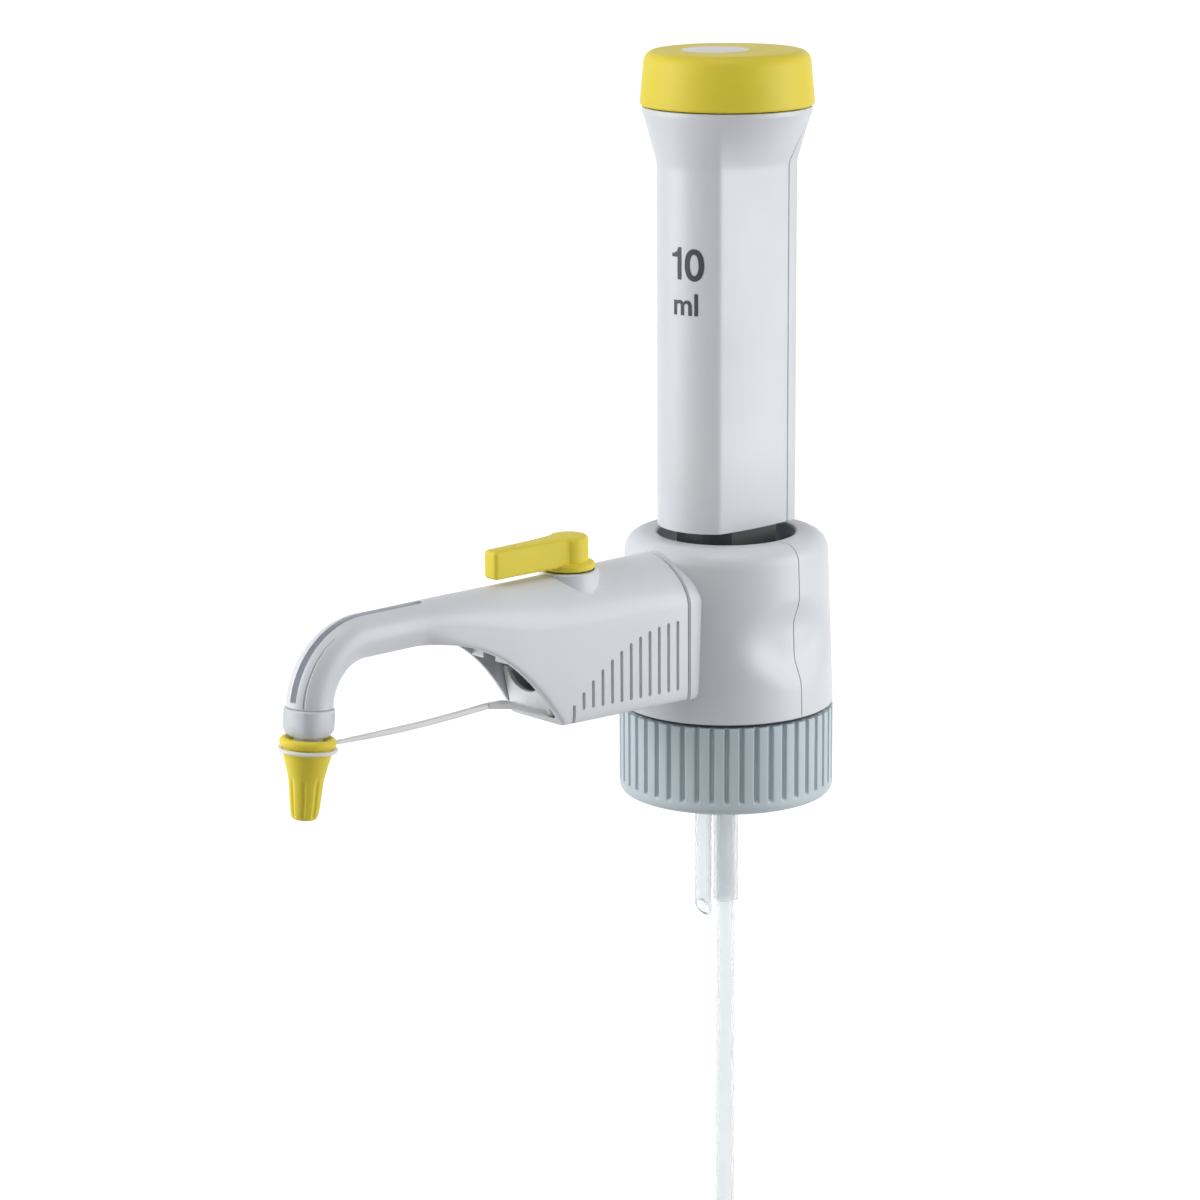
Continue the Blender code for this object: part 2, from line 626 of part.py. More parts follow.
def housing_half(name, side):
    """One half of the housing, with half a dimple at each of its ends."""
    rings = []
    steps = 24
    for i in range(steps + 1):
        angle = math.pi * i / steps
        across = min(angle, math.pi - angle)
        ring = []
        for radius, height in shell_profile():
            pressed = radius - dimple_depth(across, height)
            y = side * (pressed * math.sin(angle) + GAP / 2)
            ring.append((pressed * math.cos(angle), y, height))
        rings.append(ring)
    return loft(name, rings, HOUSING)


def make_housing():
    """Front and rear housing shells, parted in the plane through the axis."""
    front = housing_half("block_housing_front", -1)
    rear = housing_half("block_housing_rear", 1)
    saddle = loft("saddle", [arm_ring(JOINT_REACH, reach_at=step, grow=grow) for step, grow in (
        (MOUTH_RADIUS, SADDLE_PROUD), (BLOCK_TOP_RADIUS, SADDLE_PROUD / 2), (JOINT_REACH, 0))], None)
    throat = loft("saddle_throat", [arm_ring(JOINT_REACH, reach_at=step, grow=-ARM_WALL) for step in (
        CORE_RADIUS + 2 * MM, JOINT_REACH + MM)], None)
    recess = loft("joint_recess", [arm_ring(JOINT_REACH, reach_at=step, grow=GAP) for step in (
        JOINT_REACH, BLOCK_FOOT_RADIUS + 3 * MM)], None)
    join(front, saddle)
    cut(front, throat, recess)

    vent_hole = along_arm(turned("vent_hole", [
        (0, 0), (VENT_RADIUS + GAP, 0), (VENT_RADIUS + GAP, -BLOCK_FOOT_RADIUS), (0, -BLOCK_FOOT_RADIUS),
    ], None, steps=28, ring=False), reach=-(BLOCK_TOP_RADIUS - 5 * MM), level=VENT_LEVEL)
    cut(rear, vent_hole)
    face = BLOCK_FOOT_RADIUS + VENT_PROUD
    along_arm(turned("vent_cap", [
        (0, -face + 5 * MM), (VENT_RADIUS, -face + 5 * MM), (VENT_RADIUS, -face + 0.5 * MM),
        (VENT_RADIUS - 0.5 * MM, -face), (0, -face),
    ], HOUSING, steps=28, ring=False), level=VENT_LEVEL)


def make_cylinder():
    """Glass cylinder with its seal, and the guide column round it."""
    turned("cylinder_seal", [
        (GLASS_RADIUS, GLASS_FOOT - GAP), (GLASS_RADIUS, SOCKET_FOOT + GAP),
        (CYLINDER_BORE, SOCKET_FOOT + GAP), (CYLINDER_BORE, GLASS_FOOT - GAP),
    ], DARK, steps=32)
    turned("glass_cylinder", [
        (GLASS_RADIUS, GLASS_TOP), (GLASS_RADIUS, GLASS_FOOT),
        (CYLINDER_BORE, GLASS_FOOT), (CYLINDER_BORE, GLASS_TOP),
    ], GLASS, steps=40)
    turned("cylinder_lid", [
        (GLASS_RADIUS, GLASS_TOP + GAP + LID_THICKNESS), (GLASS_RADIUS, GLASS_TOP + GAP),
        (ROD_RADIUS + GAP, GLASS_TOP + GAP), (ROD_RADIUS + GAP, GLASS_TOP + GAP + LID_THICKNESS),
    ], DARK, steps=28)
    guide_foot = CORE_TOP + GAP
    guide_top = GUIDE_TOP
    guide = turned("cylinder_guide", [
        (GUIDE_RADIUS, guide_top), (GUIDE_RADIUS, guide_foot),
        (GLASS_RADIUS + GAP, guide_foot), (GLASS_RADIUS + GAP, guide_top),
    ], DARK, steps=40)
    for side in (-1, 1):
        near, far = sorted((side * GUIDE_FLAT, side * (GUIDE_RADIUS + 2 * MM)))
        low = (near, -GUIDE_RADIUS, guide_foot - MM)
        high = (far, GUIDE_RADIUS, guide_top + MM)
        cut(guide, box("guide_flat", low, high))


# Piston carriage

def sleeve_outline():
    """Right half of the sleeve's section from front to rear: arc, crowned side, arc."""
    radius = SLEEVE_ARC_RADIUS
    points = []
    arc_steps = 7
    for i in range(arc_steps + 1):
        angle = SLEEVE_ARC_ANGLE * i / arc_steps
        points.append((radius * math.sin(angle), -SLEEVE_ARC_REACH - radius * math.cos(angle)))
    half, corner = points[-1][0], -points[-1][1]
    side_steps = 8
    for i in range(1, side_steps):
        share = 2 * i / side_steps - 1
        points.append((half + SLEEVE_SIDE_CROWN * (1 - share ** 2), share * corner))
    points += [(x, -y) for x, y in reversed(points[:arc_steps + 1])]
    return points


def flared(point, share):
    """Move a point of the section out towards the flare's round rim."""
    flat = Vector(point)
    rim = flat.normalized() * FLARE_RADIUS
    return flat.lerp(rim, share)


def split_outline(part):
    """The sleeve's section on one side of the seam, as one open line."""
    right = sleeve_outline()
    seam = SLEEVE_SEAM
    side = interpolate_at(right, seam)
    if part == "front":
        line = [point for point in right if point[1] < seam - 0.3 * MM] + [(side, seam)]
        return [(-x, y) for x, y in reversed(line)] + line[1:]
    line = [(side, seam + GAP)] + [point for point in right if point[1] > seam + 0.6 * MM]
    return line + [(-x, y) for x, y in reversed(line[:-1])]


def interpolate_at(line, level):
    """Width of the section where it crosses the given depth."""
    for (x0, y0), (x1, y1) in zip(line, line[1:]):
        if y0 <= level <= y1 and y1 > y0:
            return x0 + (x1 - x0) * (level - y0) / (y1 - y0)
    return line[-1][0]


def make_sleeve():
    """Front and rear sleeve shells with the flare under the cap."""
    flare_foot = SLEEVE_TOP - FLARE_HEIGHT
    levels = [(SLEEVE_FOOT, 0), (flare_foot - 2 * MM, 0), (flare_foot, 0.02)]
    steps = 5
    for i in range(1, steps + 1):
        levels.append((flare_foot + (FLARE_HEIGHT - FLARE_RIM) * i / steps, i / steps))
    levels.append((SLEEVE_TOP, 1))
    for part, name in (("front", "sleeve_front"), ("rear", "sleeve_rear")):
        line = split_outline(part)
        rows = [[(*flared(point, share), height) for point in line] for height, share in levels]
        shell(name, rows, SLEEVE_WALL, HOUSING)


def make_pads():
    """Front and rear guide pads in the sleeve's foot, running on the guide column."""
    steps = 10
    foot = SLEEVE_FOOT + PAD_RISE
    for name, side in (("guide_pad_front", -1), ("guide_pad_rear", 1)):
        outline = []
        outer = SLEEVE_ARC_RADIUS - SLEEVE_WALL - GAP
        spread = SLEEVE_ARC_ANGLE * 0.8
        for i in range(steps + 1):
            angle = spread * (2 * i / steps - 1)
            outline.append((outer * math.sin(angle), side * (SLEEVE_ARC_REACH + outer * math.cos(angle))))
        inner = GUIDE_RADIUS + GAP
        limit = math.asin(min(0.95, (GUIDE_FLAT - 1.5 * MM) / inner))
        for i in range(steps + 1):
            angle = limit * (1 - 2 * i / steps)
            outline.append((inner * math.sin(angle), side * inner * math.cos(angle)))
        rings = [[(x, y, height) for x, y in outline] for height in (foot, foot + PAD_HEIGHT)]
        loft(name, rings, FLUOROPOLYMER)


def make_cap():
    """Yellow cap: a deep round lid with a spigot into the sleeve's flare."""
    spigot = CAP_RADIUS - CAP_SPIGOT_STEP
    inner = spigot - CAP_WALL
    corner = (CAP_TOP_RADIUS - CAP_ROUND, CAP_TOP - CAP_ROUND)
    foot_corner = (CAP_RADIUS - CAP_LOWER_ROUND, CAP_FOOT + CAP_LOWER_ROUND)
    profile = [(0, CAP_TOP)]
    profile += round_corner(corner, CAP_ROUND, 90, 8, 4)
    profile += round_corner(foot_corner, CAP_LOWER_ROUND, 0, -90, 1)
    profile += [(spigot, CAP_FOOT), (spigot, CAP_FOOT - CAP_SPIGOT), (inner, CAP_FOOT - CAP_SPIGOT)]
    profile += [(inner, CAP_TOP - CAP_WALL), (0, CAP_TOP - CAP_WALL)]
    turned("top_cap", profile, YELLOW, steps=48, ring=False)


def make_piston():
    """Piston with its lip seal, rod, holder, stop and nut."""
    radius = CYLINDER_BORE - GAP
    head = PISTON_FOOT + PISTON_LIP + GAP
    top = PISTON_FOOT + PISTON_LENGTH
    core = ROD_RADIUS + 0.4 * MM
    turned("piston_seal", [
        (radius, PISTON_FOOT + PISTON_LIP), (radius, PISTON_FOOT),
        (core + GAP, PISTON_FOOT), (core + GAP, PISTON_FOOT + PISTON_LIP),
    ], FLUOROPOLYMER, steps=24)
    groove = 0.5 * MM
    profile = [(0, top), (radius, top)]
    for level in (0.65, 0.35):
        height = head + level * (top - head)
        profile += [(radius, height + MM), (radius - groove, height + MM / 2), (radius, height)]
    profile += [(radius, head), (core, head), (core, PISTON_FOOT), (0, PISTON_FOOT)]
    turned("piston", profile, FLUOROPOLYMER, steps=24, ring=False)

    nut_foot = HOLDER_TOP + GAP
    rod_top = nut_foot + NUT_HEIGHT + MM
    collar_radius = ROD_RADIUS + 1.2 * MM
    turned("piston_rod", [
        (0, rod_top), (ROD_RADIUS, rod_top), (ROD_RADIUS, HOLDER_FOOT - GAP),
        (collar_radius, HOLDER_FOOT - GAP), (collar_radius, HOLDER_FOOT - 2 * MM),
        (ROD_RADIUS, HOLDER_FOOT - 2 * MM), (ROD_RADIUS, top + GAP), (0, top + GAP),
    ], SPRING_METAL, steps=24, ring=False)
    turned("rod_holder", [
        (HOLDER_RADIUS, HOLDER_TOP), (HOLDER_RADIUS, HOLDER_FOOT),
        (ROD_RADIUS + GAP, HOLDER_FOOT), (ROD_RADIUS + GAP, HOLDER_TOP),
    ], HOUSING, steps=40)
    across = (ROD_RADIUS + GAP) / math.cos(math.radians(30))
    turned("calibration_nut", [
        (NUT_RADIUS, nut_foot + NUT_HEIGHT), (NUT_RADIUS, nut_foot),
        (across, nut_foot), (across, nut_foot + NUT_HEIGHT),
    ], SPRING_METAL, steps=6)
    stop_top = HOLDER_FOOT - 2 * MM - GAP
    stop_foot = GUIDE_TOP + GAP
    turned("volume_stop", [
        (STOP_RADIUS, stop_top), (STOP_RADIUS, stop_foot + STOP_FLANGE),
        (STOP_FLANGE_RADIUS, stop_foot + STOP_FLANGE), (STOP_FLANGE_RADIUS, stop_foot),
        (ROD_RADIUS + GAP, stop_foot), (ROD_RADIUS + GAP, stop_top),
    ], HOUSING, steps=28)


# Arm

def blend(low, high, value):
    """Smooth share between two values, 0 below the first and 1 above the second."""
    share = min(1.0, max(0.0, (value - low) / (high - low)))
    return share * share * (3 - 2 * share)


def arm_half(reach):
    """Half width of the arm in plan."""
    if reach < ARM_MID_REACH:
        slope = (ARM_ROOT_HALF - ARM_MID_HALF) / (ARM_MID_REACH - JOINT_REACH)
        return ARM_ROOT_HALF - slope * (reach - JOINT_REACH)
    share = min(1.0, (reach - ARM_MID_REACH) / (SPOUT_REACH - ARM_MID_REACH))
    return ARM_MID_HALF + (SPOUT_RADIUS - ARM_MID_HALF) * share


def arm_foot(reach):
    """Lower edge of the arm, which climbs from the foot to the spout in one sweep."""
    if reach <= MOUTH_START:
        return ARM_FOOT
    spout_foot = ARM_CREST - 2 * SPOUT_RADIUS
    share = max(0.0, (SPOUT_REACH - reach) / (SPOUT_REACH - MOUTH_START))
    return spout_foot - (spout_foot - ARM_FOOT) * share ** MOUTH_POWER


def arm_spring(reach):
    """Height where the arm's arch springs from its sides."""
    return ARM_SPRING + (SPOUT_LEVEL - ARM_SPRING) * blend(MOUTH_START, SPOUT_REACH, reach)


def arm_ring(reach, reach_at=None, grow=0.0, foot=None):
    """Outline of the arm across its length: an arch on a squarer foot."""
    share = blend(MOUTH_START, SPOUT_REACH, reach)
    half = arm_half(reach) + grow
    level = arm_spring(reach)
    rise = ARM_CREST + grow - level
    fall = level - ((arm_foot(reach) if foot is None else foot) - grow)
    arch = ARCH_POWER + (2 - ARCH_POWER) * share
    square = FOOT_POWER + (2 - FOOT_POWER) * blend(MOUTH_START + FOOT_ROUND_START, SPOUT_REACH, reach)
    where = reach if reach_at is None else reach_at
    points = []
    steps = 32
    for i in range(steps):
        angle = math.tau * i / steps
        power = 2 / arch if math.sin(angle) >= 0 else 2 / square
        cosine, sine = math.cos(angle), math.sin(angle)
        x = half * math.copysign(abs(cosine) ** power, cosine)
        z = (rise if sine >= 0 else fall) * math.copysign(abs(sine) ** power, sine)
        points.append((x, -where, level + z))
    return points


def bend_start():
    """Reach where the spout's centre line leaves the level."""
    drop = BEND_RADIUS * (1 - math.sin(NOZZLE_TILT))
    end_level = SPOUT_LEVEL - drop
    end_reach = NOZZLE_REACH - (end_level - NOZZLE_LEVEL) * math.tan(NOZZLE_TILT)
    return end_reach - BEND_RADIUS * math.cos(NOZZLE_TILT)


def spout_line(end_rise=None, steps=7):
    """Points and directions of the spout's bend, and of its end at a rise over the ferrule's foot."""
    start = bend_start()
    stations = []
    sweep = math.radians(90) - NOZZLE_TILT
    for i in range(steps + 1):
        angle = sweep * i / steps
        reach = start + BEND_RADIUS * math.sin(angle)
        level = SPOUT_LEVEL - BEND_RADIUS * (1 - math.cos(angle))
        stations.append((Vector((0, -reach, level)), Vector((0, -math.cos(angle), -math.sin(angle)))))
    if end_rise is not None:
        stations.append((NOZZLE_POINT + NOZZLE_UP * end_rise, -NOZZLE_UP))
    return stations


def spout_ring(place, heading, radius, steps=32):
    """A round ring across the spout."""
    up = Vector((1, 0, 0)).cross(heading)
    points = []
    for i in range(steps):
        angle = math.tau * i / steps
        points.append(place + radius * (Vector((1, 0, 0)) * math.cos(angle) - up * math.sin(angle)))
    return points


def make_slits():
    """One cutter with the upright slits of both sides."""
    bm = bmesh.new()
    for i in range(SLIT_COUNT):
        reach = SLIT_START + i * SLIT_PITCH
        top = SLIT_TOP - SLIT_FALL * (reach - SLIT_START) ** 2
        foot = SLIT_FOOT if i < SLIT_COUNT - 1 else ARM_FOOT - 2 * MM
        outer = arm_half(reach) + MM
        inner = arm_half(reach) - SLIT_DEPTH
        for side in (-1, 1):
            size = (outer - inner, SLIT_WIDTH, top - foot)
            centre = (side * (outer + inner) / 2, -reach, (top + foot) / 2)
            matrix = Matrix.Translation(centre) @ Matrix.Diagonal((*size, 1))
            bmesh.ops.create_cube(bm, size=1.0, matrix=matrix)
    return add_object("slit_cutter", mesh_from("slit_cutter", bm), None)


def make_ribs():
    """Cross ribs in the arm's mouth, split to let the outlet tube by."""
    bm = bmesh.new()
    gap = OUTLET_TUBE_RADIUS + MM
    for i in range(MOUTH_RIB_COUNT):
        reach = MOUTH_RIB_START + i * MOUTH_RIB_PITCH
        half = arm_half(reach) - ARM_WALL / 2
        foot = arm_foot(reach) + MOUTH_RIB_RISE
        top = arm_spring(reach)
        for side in (-1, 1):
            centre = (side * (half + gap) / 2, -reach, (top + foot) / 2)
            matrix = Matrix.Translation(centre) @ Matrix.Diagonal((half - gap, MOUTH_RIB, top - foot, 1))
            bmesh.ops.create_cube(bm, size=1.0, matrix=matrix)
    return add_object("mouth_ribs", mesh_from("mouth_ribs", bm), None)


def slot_cutter():
    """The narrow slot along the outer side of the spout, down to the tube's seat."""
    half = SLOT_WIDTH / 2
    below = OUTLET_TUBE_RADIUS / 3
    above = SPOUT_END_RADIUS + 2 * MM
    across = Vector((1, 0, 0))
    stations = [(Vector((0, -SLOT_START, SPOUT_LEVEL)), Vector((0, -1, 0)))] + spout_line()
    rings = []
    for place, heading in stations:
        up = heading.cross(across)
        rings.append([place + across * x + up * z for x, z in (
            (-half, -below), (half, -below), (half, above), (-half, above))])
    return loft("slot_cutter", rings, None)


def arm_stations(start, end, before, after):
    """Stations along the arm: even up to the mouth, closest where its foot starts to climb."""
    reaches = [start + (MOUTH_START - start) * i / before for i in range(before)]
    reaches += [MOUTH_START + (end - MOUTH_START) * (i / after) ** 1.5 for i in range(after + 1)]
    apart = [reach for reach in reaches if abs(reach - ARM_MID_REACH) > MM or reach in (start, end)]
    return sorted(apart + [ARM_MID_REACH])


def make_arm():
    """Arm housing: hollow arch from the saddle, open underneath, drawn out into the bent spout."""
    root = JOINT_REACH + GAP
    rings = [arm_ring(reach) for reach in arm_stations(root, SPOUT_REACH, 4, 9)]
    line = spout_line(FERRULE_HEIGHT + GAP)
    for i, (place, heading) in enumerate(line):
        radius = SPOUT_RADIUS + (SPOUT_END_RADIUS - SPOUT_RADIUS) * i / (len(line) - 1)
        rings.append(spout_ring(place, heading, radius))
    arm = loft("arm_housing", rings, HOUSING)

    boss = turned("lever_boss", [
        (0, LEVER_FOOT - GAP), (BARREL_RADIUS + BOSS_WALL, LEVER_FOOT - GAP),
        (BARREL_RADIUS + BOSS_WALL + BOSS_FLARE, ARM_SPRING), (0, ARM_SPRING),
    ], None, steps=32, ring=False)
    boss.location = (0, -LEVER_REACH, 0)
    cavity = loft("arm_cavity", [arm_ring(reach, grow=-ARM_WALL, foot=ARM_FOOT)
                                 for reach in arm_stations(root - MM, CAVITY_END, 2, 4)], None)
    barrel_hole = turned("barrel_hole", [
        (0, ARM_CREST + 3 * MM), (BARREL_RADIUS + GAP, ARM_CREST + 3 * MM),
        (BARREL_RADIUS + GAP, ARM_SPRING - 3 * MM), (0, ARM_SPRING - 3 * MM),
    ], None, steps=24, ring=False)
    barrel_hole.location = (0, -LEVER_REACH, 0)
    bore_line = [(Vector((0, -CAVITY_END + 2 * MM, SPOUT_LEVEL)), Vector((0, -1, 0)))] + spout_line(0)
    bore = loft("spout_bore", [spout_ring(place, heading, OUTLET_TUBE_RADIUS + GAP, 10)
                               for place, heading in bore_line], None)
    cut(arm, cavity)
    join(arm, boss, make_ribs())
    cut(arm, barrel_hole, make_slits(), bore, slot_cutter())


def make_outlet():
    """Outlet valve, purge valve barrel and the tube that runs to the nozzle's tip."""
    foot = PORT_REACH + GAP
    chamber = foot + OUTLET_SEAT
    room = BALL_RADIUS + BALL_ROOM
    along_arm(turned("outlet_valve_body", [
        (PORT_RADIUS, OUTLET_VALVE_REACH), (PORT_RADIUS, foot), (PORT_BORE, foot), (PORT_BORE, chamber),
        (room, chamber), (room, OUTLET_VALVE_REACH),
    ], FLUOROPOLYMER, steps=28), level=PORT_LEVEL)
    ball_reach = chamber + math.sqrt(BALL_RADIUS ** 2 - PORT_BORE ** 2) + BALL_ROOM
    make_ball("outlet_valve_ball", (0, -ball_reach, PORT_LEVEL))

    start = ball_reach + BALL_RADIUS + OUTLET_LIFT + GAP
    end = OUTLET_VALVE_REACH - SPRING_WIRE
    curve = bpy.data.curves.new("outlet_spring", 'CURVE')
    curve.dimensions = '3D'
    curve.bevel_depth = SPRING_WIRE
    curve.bevel_resolution = 0
    curve.use_fill_caps = True
    spline = curve.splines.new('POLY')
    count = SPRING_TURNS * 10
    spline.points.add(count)
    for i in range(count + 1):
        turn = math.tau * i / 10
        reach = start + SPRING_WIRE + (end - start - SPRING_WIRE) * i / count
        place = (SPRING_COIL * math.cos(turn), -reach, PORT_LEVEL + SPRING_COIL * math.sin(turn))
        spline.points[i].co = (*place, 1)
    spring = bpy.data.objects.new("outlet_spring", curve)
    curve.materials.append(SPRING_METAL)
    PARTS.objects.link(spring)

    barrel = turned("purge_valve_body", [
        (0, BARREL_TOP), (BARREL_RADIUS, BARREL_TOP), (BARREL_RADIUS, BARREL_FOOT), (0, BARREL_FOOT),
    ], FLUOROPOLYMER, steps=24, ring=False)
    barrel.location = (0, -LEVER_REACH, 0)
    arms = along_arm(turned("barrel_ports", [
        (0, LEVER_REACH + BARREL_OUTLET), (BARREL_PORT_RADIUS, LEVER_REACH + BARREL_OUTLET),
        (BARREL_PORT_RADIUS, OUTLET_VALVE_REACH + GAP), (0, OUTLET_VALVE_REACH + GAP),
    ], None, steps=24, ring=False), level=PORT_LEVEL)
    stem_hole = turned("stem_hole", [
        (0, BARREL_TOP + MM), (STEM_RADIUS + GAP, BARREL_TOP + MM),
        (STEM_RADIUS + GAP, BARREL_FOOT + BARREL_FLOOR), (0, BARREL_FOOT + BARREL_FLOOR),
    ], None, steps=28, ring=False)
    stem_hole.location = (0, -LEVER_REACH, 0)
    passage = along_arm(turned("barrel_passage", [
        (0, LEVER_REACH + BARREL_OUTLET + MM), (PORT_BORE, LEVER_REACH + BARREL_OUTLET + MM),
        (PORT_BORE, OUTLET_VALVE_REACH - MM), (0, OUTLET_VALVE_REACH - MM),
    ], None, steps=16, ring=False), level=PORT_LEVEL)
    join(barrel, arms)
    cut(barrel, stem_hole, passage)

    tube_start = LEVER_REACH + BARREL_OUTLET + GAP
    climb = SPOUT_LEVEL - PORT_LEVEL
    points = [Vector((0, -tube_start - OUTLET_TUBE_CLIMB * along, PORT_LEVEL + climb * up))
              for along, up in ((0, 0), (0.15, 0.03), (0.45, 0.35), (0.75, 0.75), (1, 0.97))]
    points += [Vector((0, -reach, SPOUT_LEVEL)) for reach in (CAVITY_END, SLOT_START)]
    points += [place for place, heading in spout_line(0, steps=9)]
    points.append(NOZZLE_POINT - NOZZLE_UP * TIP_LENGTH)
    curve = bpy.data.curves.new("discharge_tube", 'CURVE')
    curve.dimensions = '3D'
    curve.bevel_depth = OUTLET_TUBE_RADIUS
    curve.bevel_resolution = 1
    curve.use_fill_caps = True
    spline = curve.splines.new('POLY')
    spline.points.add(len(points) - 1)
    for i, point in enumerate(points):
        spline.points[i].co = (*point, 1)
    tube = bpy.data.objects.new("discharge_tube", curve)
    curve.materials.append(FLUOROPOLYMER)
    PARTS.objects.link(tube)


def make_lever():
    """Yellow purge lever on its stem, with an O-ring."""
    stem_foot = BARREL_FOOT + BARREL_FLOOR + GAP
    seal_foot = BARREL_TOP - STEM_SEAL_DEPTH
    seal_top = seal_foot + STEM_SEAL_THICKNESS
    groove = STEM_RADIUS - STEM_GROOVE
    stem = turned("valve_stem", [
        (0, LEVER_FOOT - GAP), (STEM_RADIUS, LEVER_FOOT - GAP), (STEM_RADIUS, seal_top + GAP),
        (groove, seal_top + GAP), (groove, seal_foot - GAP), (STEM_RADIUS, seal_foot - GAP),
        (STEM_RADIUS, stem_foot), (0, stem_foot),
    ], FLUOROPOLYMER, steps=28, ring=False)
    stem.location = (0, -LEVER_REACH, 0)
    outer = STEM_RADIUS + GAP / 3
    inner = groove + GAP / 2
    seal = turned("stem_seal", [
        (outer, seal_top), (outer, seal_foot), (inner, seal_foot), (inner, seal_top),
    ], DARK, steps=28)
    seal.location = (0, -LEVER_REACH, 0)

    top = LEVER_FOOT + LEVER_HEIGHT
    flange_top = LEVER_FOOT + LEVER_FLANGE
    lever = turned("purge_lever", [
        (0, top), (LEVER_HUB_RADIUS - MM, top), (LEVER_HUB_RADIUS, top - MM),
        (LEVER_HUB_RADIUS, flange_top + 0.3 * MM), (LEVER_FLANGE_RADIUS - 0.3 * MM, flange_top),
        (LEVER_FLANGE_RADIUS, flange_top - 0.4 * MM),
        (LEVER_FLANGE_RADIUS, LEVER_FOOT), (0, LEVER_FOOT),
    ], YELLOW, steps=40, ring=False)
    lever.location = (0, -LEVER_REACH, 0)
    foot = LEVER_FOOT + LEVER_RISE
    rings = []
    edge = 0.7 * MM
    fillet_end = (LEVER_HUB_RADIUS + LEVER_NECK_FILLET) / LEVER_LENGTH
    for share in (0.0, 0.14, 0.2, 0.27, fillet_end, 0.6, 0.97, 1.0):
        half = LEVER_NECK_HALF + (LEVER_TIP_HALF - LEVER_NECK_HALF) * share
        hollow = max(0.0, 1 - share / fillet_end)
        half += (LEVER_HUB_RADIUS - edge - LEVER_NECK_HALF) * hollow ** 1.6
        half -= edge if share == 1.0 else 0
        crest = top - LEVER_TIP_DROP * share - (edge if share == 1.0 else 0)
        y = -LEVER_LENGTH * share
        rings.append([(-half, y, foot), (half, y, foot), (half, y, crest - edge),
                      (half - edge, y, crest), (-half + edge, y, crest), (-half, y, crest - edge)])
    handle = loft("lever_handle", rings, None)
    handle.location = (0, -LEVER_REACH, 0)
    join(lever, handle)


# Nozzle end

